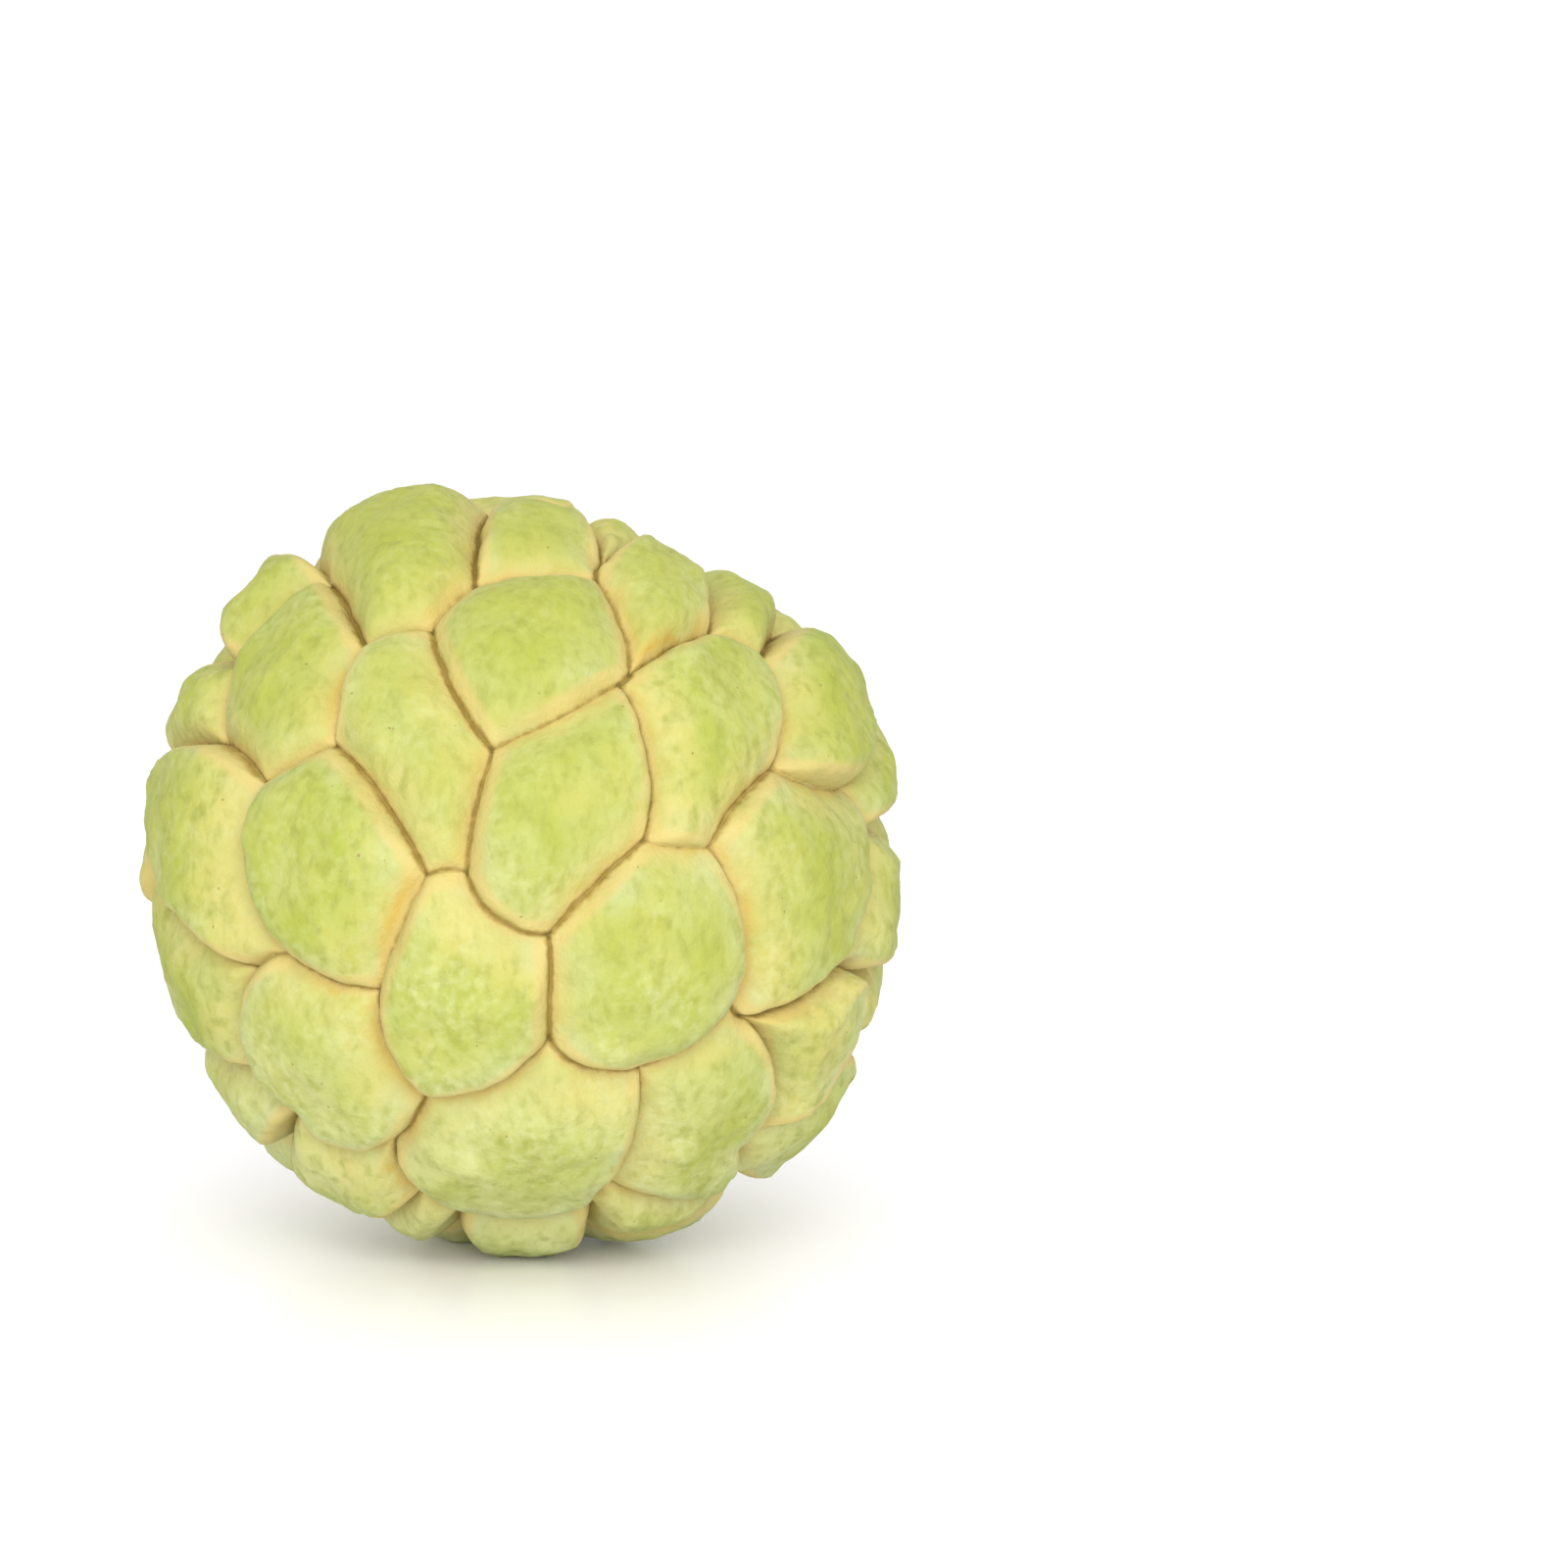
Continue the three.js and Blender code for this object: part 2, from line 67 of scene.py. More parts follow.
RIGHT = np.array([1.0, 0.0, 0.0])
UP = np.array([0.0, math.sin(EYE_RISE), math.cos(EYE_RISE)])
AWAY = np.array([0.0, math.cos(EYE_RISE), -math.sin(EYE_RISE)])


def unit(v):
    return v / np.linalg.norm(v, axis=-1, keepdims=True)


def towards(from_eye, turn):
    """A direction by its angle from the line to the eye and its turn from the right, in degrees."""
    angle, turn = math.radians(from_eye), math.radians(turn)
    return math.sin(angle) * (math.cos(turn) * RIGHT + math.sin(turn) * UP) - math.cos(angle) * AWAY


def front(across, up, depth=0.0):
    """The direction of what shows at (across, up) mm on the ball, or depth mm below it at its middle."""
    out = math.hypot(across, up)
    seen = min(out, SPAN * SEEN)
    ball = SPAN - depth * (1 - (seen / SPAN) ** FLARE)
    slant = math.atan(seen / EYE_AWAY)
    around = math.asin(EYE_AWAY * math.sin(slant) / ball) - slant + max(0, out - SPAN) / SPAN
    side = math.sin(around) / out
    return across * side * RIGHT + up * side * UP - math.cos(around) * AWAY


print("a scale at (0, 20) mm points to", front(0, 20).round(3))

# %% [markdown]
# ## Where the scales sit
# `SCALES` gives the middle of each front scale and how far it stands above the cracks. `CORNERS` are
# the places where three scales meet, and `SHOULDER_CRACKS` the cracks that run on over the shoulder of
# the fruit, out of sight. The names are only labels, row by row from the top.

# %% The scales and corners of the front, in mm
SCALES = {
    "L": (-31.0, 33.5, 5.6), "A": (-14.3, 36.6, 5.5), "B": (2.0, 40.6, 3.9), "C": (12.6, 43.6, 3.5),
    "D": (17.0, 32.6, 4.2), "E": (27.6, 31.0, 5.1), "M": (-40.6, 20.4, 4.8), "N": (-27.8, 23.0, 3.5),
    "Q": (2.0, 25.5, 3.5), "F": (36.4, 20.6, 5.2), "W": (-39.9, 5.3, 4.9), "V": (-21.5, -0.1, 3.9),
    "P": (-11.9, 12.3, 3.0), "R": (4.3, 6.2, 3.3), "S": (22.0, 15.5, 3.2), "G": (33.1, -0.1, 3.7),
    "H": (45.2, 11.4, 4.9), "Y": (-41.3, -10.6, 4.3), "X": (-23.8, -21.5, 3.6), "U": (-6.5, -13.4, 3.2),
    "T": (14.0, -9.9, 3.5), "I": (46.2, -3.9, 4.9), "K2": (-34.0, -27.4, 4.5), "Z1": (1.6, -31.3, 3.4),
    "Z2": (20.1, -27.8, 3.6), "Z3": (36.4, -22.4, 5.2), "O": (43.0, -15.5, 4.4),
    "K1": (-22.5, -36.3, 4.5), "J1": (-12.6, -42.3, 4.4), "J2": (0.6, -44.0, 4.9),
    "J3": (16.2, -41.0, 4.0), "Z4": (30.4, -33.0, 5.4),
}
CORNERS = {
    "A B Q": (-5.7, 34.3), "A P Q": (-10.8, 28.4), "A N P": (-18.3, 26.1), "A L N": (-23.3, 35.0),
    "N P V": (-21.7, 14.7), "N W V": (-30.3, 10.3), "N M W": (-36.5, 15.8), "L M N": (-34.0, 25.5),
    "P Q R": (-3.6, 14.1), "P U R": (-6.5, 0.1), "P V U": (-11.1, -0.3), "Q R S": (11.2, 21.8),
    "D Q S": (12.6, 23.2), "D E S": (22.4, 28.4), "E F S": (28.4, 25.3), "F G S": (29.5, 12.0),
    "S G T": (21.6, 2.9), "R S T": (14.1, 3.7), "R U T": (3.0, -7.4), "U T Z1": (3.0, -19.4),
    "T Z1 Z2": (13.7, -22.8), "T G Z2": (24.5, -15.7), "G Z2 Z3": (25.8, -17.1), "V U X": (-16.5, -13.6),
    "U X Z1": (-11.3, -25.8), "V W X": (-27.5, -9.3), "W X Y": (-31.6, -11.3), "B Q D": (8.8, 35.3),
    "B C D": (9.5, 37.2), "F G H": (40.0, 10.6), "G H I": (42.2, 5.3), "G I Z3": (35.4, -12.6),
    "X K1 Z1": (-15.1, -31.8), "X K1 K2": (-26.7, -27.8), "X Y K2": (-31.0, -23.8),
    "K1 J1 Z1": (-11.7, -38.4), "J1 J2 Z1": (-7.0, -41.1), "J2 J3 Z1": (7.5, -39.8),
    "Z1 Z2 J3": (9.7, -37.3), "Z2 Z3 Z4": (26.1, -31.6), "Z2 J3 Z4": (24.7, -38.0),
    "I O Z3": (39.3, -11.8), "C D E": (22.0, 42.0),
}
SHOULDER_CRACKS = {   # turn round the outline, in degrees
    "A B": 95, "A L": 124.5, "L M": 143, "M W": 163, "W Y": 171, "Y K2": 206, "K2 K1": 229, "K1 J1": 244,
    "J1 J2": 261, "J2 J3": 279, "J3 Z4": 305.5, "O I": 347, "I H": 8, "H F": 25, "F E": 43, "C B": 82,
}
CORNER_REACH = 48.5      # mm round the shoulder to the far ends of those cracks
names = list(SCALES)
print(len(SCALES), "front scales,", len(CORNERS), "corners")

# %% [markdown]
# ## The scales that do not show from the front
# The rest of the ball gets scales too, smaller round the stalk. They start as points on a spiral and
# push each other apart until they are evenly spaced, as real ones crowd each other while they grow.

# %% Spread the hidden scales over the back
STEM = towards(122, 70)              # where the stalk grows
SPIRAL_COUNT, SPIRAL_FROM, SPIRAL_CLEAR = 70, 0.2, math.radians(17)
HIDDEN_FROM = 0.15                   # part of the radius behind the middle
SCALE_WIDTH = math.radians(25.5)
STEM_CROWDING, CROWDING_REACH = 0.66, math.radians(52)
SPREADING_ROUNDS, SPREADING_PUSH = 200, 0.15
SPREADING_FEEL = 1.25                # widths at which scales begin to push each other
GOLDEN = math.pi * (3 - math.sqrt(5))


def spread_middles():
    """Directions of all scales: the front ones, the one under the stalk, then the hidden ones."""
    middles = [front(across, up) for across, up, _ in SCALES.values()] + [STEM]
    fixed = len(middles)
    for i in range(SPIRAL_COUNT):
        away = 1 - 2 * (i + 0.5) / SPIRAL_COUNT
        side = math.sqrt(1 - away * away)
        d = side * math.cos(i * GOLDEN) * RIGHT + away * AWAY + side * math.sin(i * GOLDEN) * UP
        if away > SPIRAL_FROM and min(np.arccos(np.clip(middles[:fixed] @ d, -1, 1))) > SPIRAL_CLEAR:
            middles.append(d)
    middles = np.array(middles)
    for _ in range(SPREADING_ROUNDS):
        loose = middles[fixed:]
        worn = np.minimum(1, np.arccos(np.clip(loose @ STEM, -1, 1)) / CROWDING_REACH)
        width = SCALE_WIDTH * (STEM_CROWDING + (1 - STEM_CROWDING) * worn) * SPREADING_FEEL
        apart = loose[:, None] - middles[None]
        far = np.linalg.norm(apart, axis=2)
        far[far == 0] = np.inf           # no scale pushes itself
        push = np.maximum(0, width[:, None] - far) / far * SPREADING_PUSH
        loose = unit(loose + (apart * push[..., None]).sum(1))
        short = np.maximum(0, HIDDEN_FROM - loose @ AWAY)
        middles[fixed:] = unit(loose + short[:, None] * AWAY)
    return middles, fixed


middles, fixed = spread_middles()
print(len(middles), "scales in all,", len(middles) - fixed, "of them hidden")

# %% [markdown]
# ## Cracks
# Three scales meet where no other scale is nearer, and a crack joins the two corners that a pair of
# scales shares. The placed corners then go to their places, the others even out between them, and
# each crack bows a little towards the scale that gives way.

# %% Find the corners and the cracks
NEIGHBOUR = math.cos(math.radians(63))   # scales further apart than this never meet
ROUNDING = 1e-7


def meeting_points(middles):
    """Where three scales meet: on the axis of the circle through their middles."""
    found = []
    near = middles @ middles.T > NEIGHBOUR
    for i in range(len(middles)):
        for j in np.nonzero(near[i, i + 1:])[0] + i + 1:
            for k in np.nonzero(near[i, j + 1:] & near[j, j + 1:])[0] + j + 1:
                axis = unit(np.cross(middles[j] - middles[i], middles[k] - middles[i]))
                axis *= math.copysign(1, axis @ middles[i])
                if (middles @ axis <= axis @ middles[i] + ROUNDING).all():
                    found.append(((i, int(j), int(k)), axis))
    return found


corners = meeting_points(middles)
corner_scales = [scales for scales, _ in corners]
corner_at = np.array([at for _, at in corners])
cracks = {}
for corner, (a, b, c) in enumerate(corner_scales):
    for pair in ((a, b), (a, c), (b, c)):
        cracks.setdefault(pair, {"pair": pair, "ends": []})["ends"].append(corner)
cracks = list(cracks.values())
print(len(corner_at), "corners and", len(cracks), "cracks")

# %% Put the corners in place and bow the cracks
SETTLING = 12                        # rounds in which the corners that are not placed even out
HIDDEN_STAND = (4.0, 5.0)            # mm, least and most
STEM_STAND = 1.6                     # mm, the scale under the stalk
BOW_LIMIT, HIDDEN_BOW_LIMIT = 0.25, 0.08     # parts of a crack's length
HIDDEN_BOW = (0.2, 1.8)              # mm, and mm more for each mm that one scale stands higher
BOWS = {   # how far the first scale pushes its crack out over the second, mm
    "V P": 1.1, "Q P": 1.1, "R P": 0.3, "P N": 0.8, "V N": 0.3, "W N": 0.6, "Q D": 0.6, "D E": 0.5,
    "S F": 1.2, "F G": 1.3, "R S": 1.6, "Q R": 0.3, "S T": 0.5, "T G": 2.2, "U T": 0.2, "T Z1": 1.8,
    "T Z2": 0.8, "G Z3": 0.7, "Z1 Z2": 1.3, "R U": 2.1, "V X": 1.1, "U X": 1.4, "X Z1": 0.6, "U Z1": 2.0,
    "W Y": 1.4, "X K1": 2.6, "Z1 K1": 1.2, "U V": 0.4, "Y K2": 0.5, "Z1 J2": 0.6, "N L": 0.3, "G I": 1.4,
    "F H": 0.5, "B A": 0.3, "N A": 0.3, "Z2 Z3": 3.4, "V W": 2.6, "X Y": 1.5, "Q A": 0.3, "P A": 0.2,
    "Q B": 0.2, "S D": 0.3, "S E": 0.3, "N M": 0.5, "X W": 0.2, "X K2": 0.8, "Z1 J1": 0.6, "Z1 J3": 0.5,
    "Z2 J3": 0.4, "Z2 Z4": 0.4, "J3 Z4": 0.3, "Z3 Z4": 0.5, "G H": 0.3,
}


def numbers(key):
    return [names.index(name) for name in key.split()]


def draw(i):
    """A fixed draw between 0 and 1, by the usual sine trick."""
    return math.sin((i + 1) * 12.9898) * 43758.5453 % 1


placed = {frozenset(numbers(key)): front(*at, CRACK_DEPTH) for key, at in CORNERS.items()}
shoulder = {frozenset(numbers(key)): math.radians(turn) for key, turn in SHOULDER_CRACKS.items()}
free = []
for corner, scales in enumerate(corner_scales):
    fronts = frozenset(i for i in scales if i < len(names))
    if frozenset(scales) in placed:
        corner_at[corner] = placed[frozenset(scales)]
    elif fronts in shoulder:
        turn = shoulder[fronts]
        corner_at[corner] = front(CORNER_REACH * math.cos(turn), CORNER_REACH * math.sin(turn))
    else:
        free.append(corner)
beside = {corner: [] for corner in range(len(corner_at))}
for crack in cracks:
    p, q = crack["ends"]
    beside[p].append(q)
    beside[q].append(p)
for _ in range(SETTLING):
    corner_at[free] = [unit(corner_at[i] + corner_at[beside[i]].mean(0)) for i in free]

least, most = HIDDEN_STAND
stands = np.array([stand for _, _, stand in SCALES.values()] + [STEM_STAND]
                  + [least + (most - least) * draw(i) for i in range(len(middles) - fixed)])
pushing = {frozenset(numbers(key)): (*numbers(key), bow) for key, bow in BOWS.items()}
for crack in cracks:
    crack["length"] = np.linalg.norm(np.subtract(*corner_at[crack["ends"]])) * SPAN
    if frozenset(crack["pair"]) in pushing:
        over, under, bow = pushing[frozenset(crack["pair"])]
        limit = BOW_LIMIT
    else:
        over, under = sorted(crack["pair"], key=lambda i: -stands[i])
        bow = HIDDEN_BOW[0] + HIDDEN_BOW[1] * (stands[over] - stands[under])
        limit = HIDDEN_BOW_LIMIT
    crack.update(over=over, under=under, bow=min(bow, limit * crack["length"]))
print("longest crack", round(max(crack["length"] for crack in cracks), 1), "mm")

# %% [markdown]
# ## The rind as a fine net
# The rind is one closed mesh: every scale is a stack of rings that shrink from its cracks to its
# middle. Rings follow the cracks, so the cracks stay sharp where a grid would blur them. The mesh
# first lies on the bottoms of the cracks, on an egg with a few slow swells and the stalk's hollow.

# %% The surface that the cracks lie on
CORE = np.array([40.2, 40.2, 40.3])
CORE_HEIGHT = 44.0
SHOULDER_SWELLS = (-0.9, 0.9, -2.6, 0.8, 1.9, 0.1, -0.3, -0.8, 0.3, -1.9, 1.7, 0.3)
SWELLS = [(82, 30 * i, height, 17) for i, height in enumerate(SHOULDER_SWELLS)] + [
    (84, 269, 1.6, 16), (0, 0, 0.8, 45)]     # from the eye, turn in degrees, height, reach in degrees
STEM_HOLLOW_DEPTH, STEM_HOLLOW_REACH = 6.5, 23


def bump(d, axis, reach):
    return np.exp(-(np.arccos(np.clip(d @ axis, -1, 1)) / math.radians(reach)) ** 2)


def core(d):
    """Distance in mm from the middle of the fruit to the bottoms of the cracks, along d."""
    r = 1 / np.linalg.norm(d / CORE, axis=-1)
    for from_eye, turn, height, reach in SWELLS:
        r = r + height * bump(d, towards(from_eye, turn), reach)
    return r - STEM_HOLLOW_DEPTH * bump(d, STEM, STEM_HOLLOW_REACH)


print("core along the stalk", round(float(core(STEM)), 1), "mm")

# %% [markdown]
# ## What each crack and scale looks like
# No two cracks are alike. Some are lined with brown cork, and others are only folds. Beside some the
# scale below, which grew in the dark, glows orange. One noise for all of them would look even, so the
# cracks of the front have their two numbers in a table, as each scale has its greenness, and the
# hidden ones draw theirs. Many scales near the outline are set higher there, so greener and darker:
# that part is painted shade. The mesh carries these numbers to the material.

# %% What each crack and scale looks like
LOOKS = {   # how brown a crack is, and how orange the scale below it is beside it
    "A B": (1, 0.3), "N A": (0.9, 0.5), "Q P": (1, 0.2), "Q S": (1, 0.8), "V P": (0.75, 0.3),
    "P U": (0.4, 0.3), "R P": (0.6, 0.9), "R U": (0.8, 0.3), "U T": (0.9, 0.6), "R T": (0.75, 0.8),
    "T Z1": (0.9, 0.6), "T Z2": (0.6, 0.4), "T G": (0.45, 1.2), "S G": (0.6, 0.6), "R S": (0.6, 0.8),
    "Q R": (0.4, 0.7), "Q D": (0.6, 0.8), "S D": (0.5, 1.6), "D E": (0.5, 0.3), "E F": (0.6, 0.2),
    "S F": (0.6, 0.8), "G Z3": (0.7, 0.8), "U Z1": (0.5, 0.8), "U X": (0.75, 1.3), "X Z1": (0.6, 0.9),
    "V X": (0.5, 1.0), "W Y": (0.75, 0.9), "N W": (0.7, 0.8), "M W": (0.4, 0.8), "X K1": (0.35, 0.4),
    "Z1 K1": (0.5, 1.2), "Z1 Z2": (0.2, 0.2), "B D": (0.8, 0.2), "B C": (0.7, 0.1), "C D": (0.7, 0.1),
    "U V": (0.15, 1.8), "A Q": (0.1, 0.8), "A P": (0, 0.3), "B Q": (0.15, 0.6), "P N": (0.1, 1.2),
    "G Z2": (0.9, 1.0), "S T": (0, 0.8), "F G": (0.05, 0.5), "I O": (0.3, 0.9), "J1 J2": (0.3, 0.2),
}
PLAIN_LOOK = (0.05, 0.25)            # any other crack of the front
# how green each scale is; near the outline the values also hold painted shade, making those scales darker
GREENS_AND_EDGE_SHADE = {   # how green a scale is
    "L": 0.8, "A": 0.65, "B": 0.35, "C": 0.5, "D": 0.45, "E": 0.6, "M": 1.0, "N": 0.65, "Q": 0.5,
    "F": 0.85, "W": 0.8, "V": 1.0, "P": 0.25, "R": 0.55, "S": 0.75, "G": 0.65, "H": 0.9, "Y": 0.9,
    "X": 0.35, "U": 0.6, "T": 0.5, "I": 0.9, "K2": 0.4, "Z1": 0.5, "Z2": 0.6, "Z3": 0.5, "O": 0.7,
    "K1": 0.6, "J1": 0.2, "J2": 0.6, "J3": 0.5, "Z4": 0.8,
}
looks = {frozenset(numbers(key)): look for key, look in LOOKS.items()}
for crack in cracks:
    if max(crack["pair"]) < len(names):
        brown, warmth = looks.get(frozenset(crack["pair"]), PLAIN_LOOK)
    else:
        brown, warmth = draw(sum(crack["pair"])), draw(crack["pair"][0] * crack["pair"][1])
    crack.update(brown=brown, warm=warmth)
print(len(LOOKS), "cracks have a look of their own")

# %% [markdown]
# ## Growing each scale in rings
# Where two scales press together, one pushes over the other: the crack bows, the upper scale falls
# steeply to it and the lower one slopes away below. Each point therefore remembers how near it is to
# a crack that it is over and to one that it is under, as well as its share of the scale's height, so
# that the next steps can raise it and the material can colour it.

# %% Rings of points for every scale
EDGE_STEP = 0.7          # mm between points along a crack
EDGE_GROUP = 4           # a crack has a multiple of this many steps, so that rings can halve twice
NEARNESS = 2.5           # above 1: a point heeds its nearest crack more than the others
LEAN, OVERLAP = 0.45, 0.25           # a scale is steeper where it pushes over, more so with the bow
TUCK_LEAST, TUCK_PER_BOW = 0.45, 0.6     # how strongly a crack marks the scale below it
WARM_REACH = 1.3                     # mm over which the orange beside a crack fades
THIN = 0.55                          # mm from a crack at which even the brownest line ends
FAR = 30.0                           # mm, more than any scale is wide
NO_SCALE = -1                        # the mark of a point in a crack
RINGS = [   # size of each ring, and how many crack points one point of it stands for
    (0.99, 1), (0.975, 1), (0.955, 1), (0.93, 1), (0.9, 1), (0.86, 1), (0.81, 1), (0.75, 1),
    (0.68, 2), (0.6, 2), (0.51, 2), (0.41, 2), (0.31, 4), (0.2, 4), (0.1, 4)]

points, faces = [], []   # points: direction, dome, stand, six marks for the material, scale


def add_points(directions, *values):
    first = sum(len(block[0]) for block in points)
    n = len(directions)
    points.append([directions, *(np.broadcast_to(v, n) for v in values)])
    return list(range(first, first + n))


def lay_crack(crack, ends):
    """The points of one crack, bowed towards the scale that gives way."""
    p, q = corner_at[crack["ends"]]
    half, along = unit(p + q), unit(q - p)
    side = middles[crack["under"]] - middles[crack["over"]]
    side = side - half * (side @ half)
    side = unit(side - along * (side @ along))
    steps = max(EDGE_GROUP, EDGE_GROUP * round(crack["length"] / EDGE_STEP / EDGE_GROUP))
    s = (np.arange(1, steps) / steps)[:, None]
    line = unit(p * (1 - s) + q * s + side * 4 * s * (1 - s) * crack["bow"] / SPAN)
    to_corner = np.minimum(s, 1 - s)[:, 0] * crack["length"]
    between = add_points(line, 0, 0, 0, 1 - crack["brown"], 0, 0, crack["warm"], to_corner, NO_SCALE)
    crack["run"] = [ends[0], *between, ends[1]]
    crack["line"] = np.vstack([p, line, q]) * SPAN


def from_line(d, line):
    """Distance in mm from directions d to a crack's line."""
    a, ab = line[:-1], np.diff(line, axis=0)
    ap = d[:, None] * SPAN - a
    t = np.clip((ap * ab).sum(-1) / (ab * ab).sum(-1), 0, 1)
    return np.linalg.norm(ap - t[..., None] * ab, axis=-1).min(1)


def rim_of(mine):
    """The closed loop of crack points round one scale, anticlockwise from outside."""
    left = list(mine)
    first = left.pop(0)
    rim, lines = list(first["run"]), [first["line"]]
    while left:
        crack = next(c for c in left if rim[-1] in (c["run"][0], c["run"][-1]))
        left.remove(crack)
        ahead = crack["run"][0] == rim[-1]
        rim += crack["run"][1:] if ahead else crack["run"][-2::-1]
        lines.append(crack["line"][1:] if ahead else crack["line"][-2::-1])
    rim, line = rim[:-1], np.vstack(lines)[:-1] / SPAN
    middle = unit(line.mean(0))
    if np.cross(line, np.roll(line, -1, 0)).sum(0) @ middle < 0:
        rim, line = rim[::-1], line[::-1]
    return rim, line, middle


def grow_scale(scale, mine):
    rim, line, middle = rim_of(mine)
    ends = corner_at[sorted({end for crack in mine for end in crack["ends"]})]
    over = np.array([crack["over"] == scale for crack in mine])[:, None]
    bows, brown, warmth = (np.array([crack[name] for crack in mine])[:, None]
                           for name in ("bow", "brown", "warm"))

    lean = np.exp(np.where(over, 1, -1) * (LEAN + OVERLAP * bows))

    def measure(d):
        away = np.array([from_line(d, crack["line"]) for crack in mine])
        closeness = (np.maximum(ROUNDING, away * lean) ** -NEARNESS).sum(0) ** (1 / NEARNESS)
        tucked = np.where(over, FAR, away / (TUCK_LEAST + TUCK_PER_BOW * bows))
        glow = np.where(over, 0, warmth * np.exp(-away / WARM_REACH)).max(0)
        to_corner = np.linalg.norm(d[:, None] - ends, axis=2).min(1) * SPAN
        return (closeness, away.min(0), (away / THIN + 1 - brown).min(0), tucked.min(0),
                np.where(over, away, FAR).min(0), glow, to_corner)

    at_middle, *to_cracks = measure(middle[None])
    top = add_points(middle[None], 1, stands[scale], *to_cracks, scale)[0]
    outer = rim
    for size, every in RINGS:
        d = unit(middle * (1 - size) + line[::every] * size)
        closeness, *to_cracks = measure(d)
        inner = add_points(d, np.minimum(1, at_middle[0] / closeness), stands[scale], *to_cracks, scale)
        join_rings(outer, inner)
        outer = inner
    faces.extend((i, outer[(k + 1) % len(outer)], top) for k, i in enumerate(outer))


def join_rings(outer, inner):
    """Faces between two rings; the inner one has as many points as the outer one, or half as many."""
    n, every = len(inner), len(outer) // len(inner)
    for k in range(n):
        i, following = inner[k], inner[(k + 1) % n]
        a, c = outer[k * every], outer[(k + 1) * every % len(outer)]
        if every == 1:
            faces.append((a, c, following, i))
        else:
            b = outer[k * every + 1]
            faces.extend([(a, b, i), (b, following, i), (b, c, following)])


corner_points = []
for corner, at in enumerate(corner_at):
    meeting = [crack for crack in cracks if corner in crack["ends"]]
    brown, warmth = (max(crack[look] for crack in meeting) for look in ("brown", "warm"))
    corner_points += add_points(at[None], 0, 0, 0, 1 - brown, 0, 0, warmth, 0, NO_SCALE)
for crack in cracks:
    lay_crack(crack, [corner_points[end] for end in crack["ends"]])
for scale in range(len(middles)):
    grow_scale(scale, [crack for crack in cracks if scale in crack["pair"]])
(directions, dome, stand, edge, line, tuck, rim, warm, to_corner,
 scale_of) = (np.concatenate(column) for column in zip(*points))
print(len(directions), "points and", len(faces), "faces in the rind")

# %% Make the mesh, with what each point remembers
FRUIT_CENTRE = Vector((0, 0, CORE_HEIGHT)) * MM
CRACK_GREEN = 0.5        # the last in the list, which NO_SCALE picks


def plain_object(name, data):
    piece = bpy.data.objects.new(name, data)
    scene.collection.objects.link(piece)
    return piece


def remember(mesh, **values):
    for name, value in values.items():
        marks = mesh.attributes.new(name, "FLOAT", "POINT")
        marks.data.foreach_set("value", np.asarray(value, np.float32))


net = bpy.data.meshes.new("rind_net")
places = directions * core(directions)[:, None] * MM + np.array(FRUIT_CENTRE)
net.from_pydata(places.tolist(), [], faces)
green = np.array([GREENS_AND_EDGE_SHADE[name] for name in names] + [draw(i) for i in range(len(names), len(middles))]
                 + [CRACK_GREEN])[scale_of]
remember(net, dome=dome, stand=stand * MM, edge=edge, line=line, tuck=tuck, rim=rim, warm=warm,
         corner=to_corner, green=green)
rind = plain_object("rind", net)
print("net box in mm", (places.min(0) / MM).round(1), (places.max(0) / MM).round(1))

# %% [markdown]
# ## Raising the scales
# The height of a scale follows a rule: nothing at its cracks, its full stand in the middle, with
# steep sides and a broad top. A rule like that is a job for Geometry Nodes, because its numbers stay
# open to change. The tree lifts each point straight away from the middle of the fruit, adds the slow
# lumps of a real rind, lets the cracks wander a little, and presses flat what would reach below the
# surface the fruit rests on.

# %% Helpers for node trees
def add(tree, kind, inputs=None, **settings):
    """One node. Settings are its own properties; inputs maps a socket to a value or to an output."""
    node = tree.nodes.new(kind)
    for name, value in settings.items():
        setattr(node, name, value)
    for key, value in (inputs or {}).items():
        if isinstance(value, bpy.types.NodeSocket):
            tree.links.new(value, node.inputs[key])
        else:
            node.inputs[key].default_value = value
    return node


def calc(tree, operation, *values, clamp=False):
    """The output of one Math node."""
    return add(tree, "ShaderNodeMath", dict(enumerate(values)), operation=operation,
               use_clamp=clamp).outputs[0]


def vector_calc(tree, operation, *values):
    """The output of one Vector Math node."""
    return add(tree, "ShaderNodeVectorMath", dict(enumerate(values)), operation=operation).outputs[0]


def scaled(tree, vector, factor):
    return add(tree, "ShaderNodeVectorMath", {0: vector, "Scale": factor}, operation="SCALE").outputs[0]


def new_tree(name, kind, inputs, outputs):
    """An empty node group with named sockets: name, type and, for a number, the value it starts from."""
    tree = bpy.data.node_groups.new(name, kind)
    for label, socket, *start in inputs:
        made = tree.interface.new_socket(label, in_out="INPUT", socket_type="NodeSocket" + socket)
        if start:
            made.default_value = start[0]
    for label, socket in outputs:
        tree.interface.new_socket(label, in_out="OUTPUT", socket_type="NodeSocket" + socket)
    return tree, tree.nodes.new("NodeGroupInput").outputs, tree.nodes.new("NodeGroupOutput").inputs


def end_tree(tree, geometry, given, result):
    """How every geometry tree here ends: smooth, real faces instead of instances, and a material."""
    smooth = add(tree, "GeometryNodeSetShadeSmooth", {"Geometry": geometry}).outputs[0]
    whole = add(tree, "GeometryNodeRealizeInstances", {"Geometry": smooth}).outputs[0]
    finished = add(tree, "GeometryNodeSetMaterial", {"Geometry": whole, "Material": given["Material"]})
    tree.links.new(finished.outputs[0], result[0])


# %% The tree that raises the scales
LOWEST = (-1, -1, 0)     # m: no point may lie below the surface, and sideways this holds none back


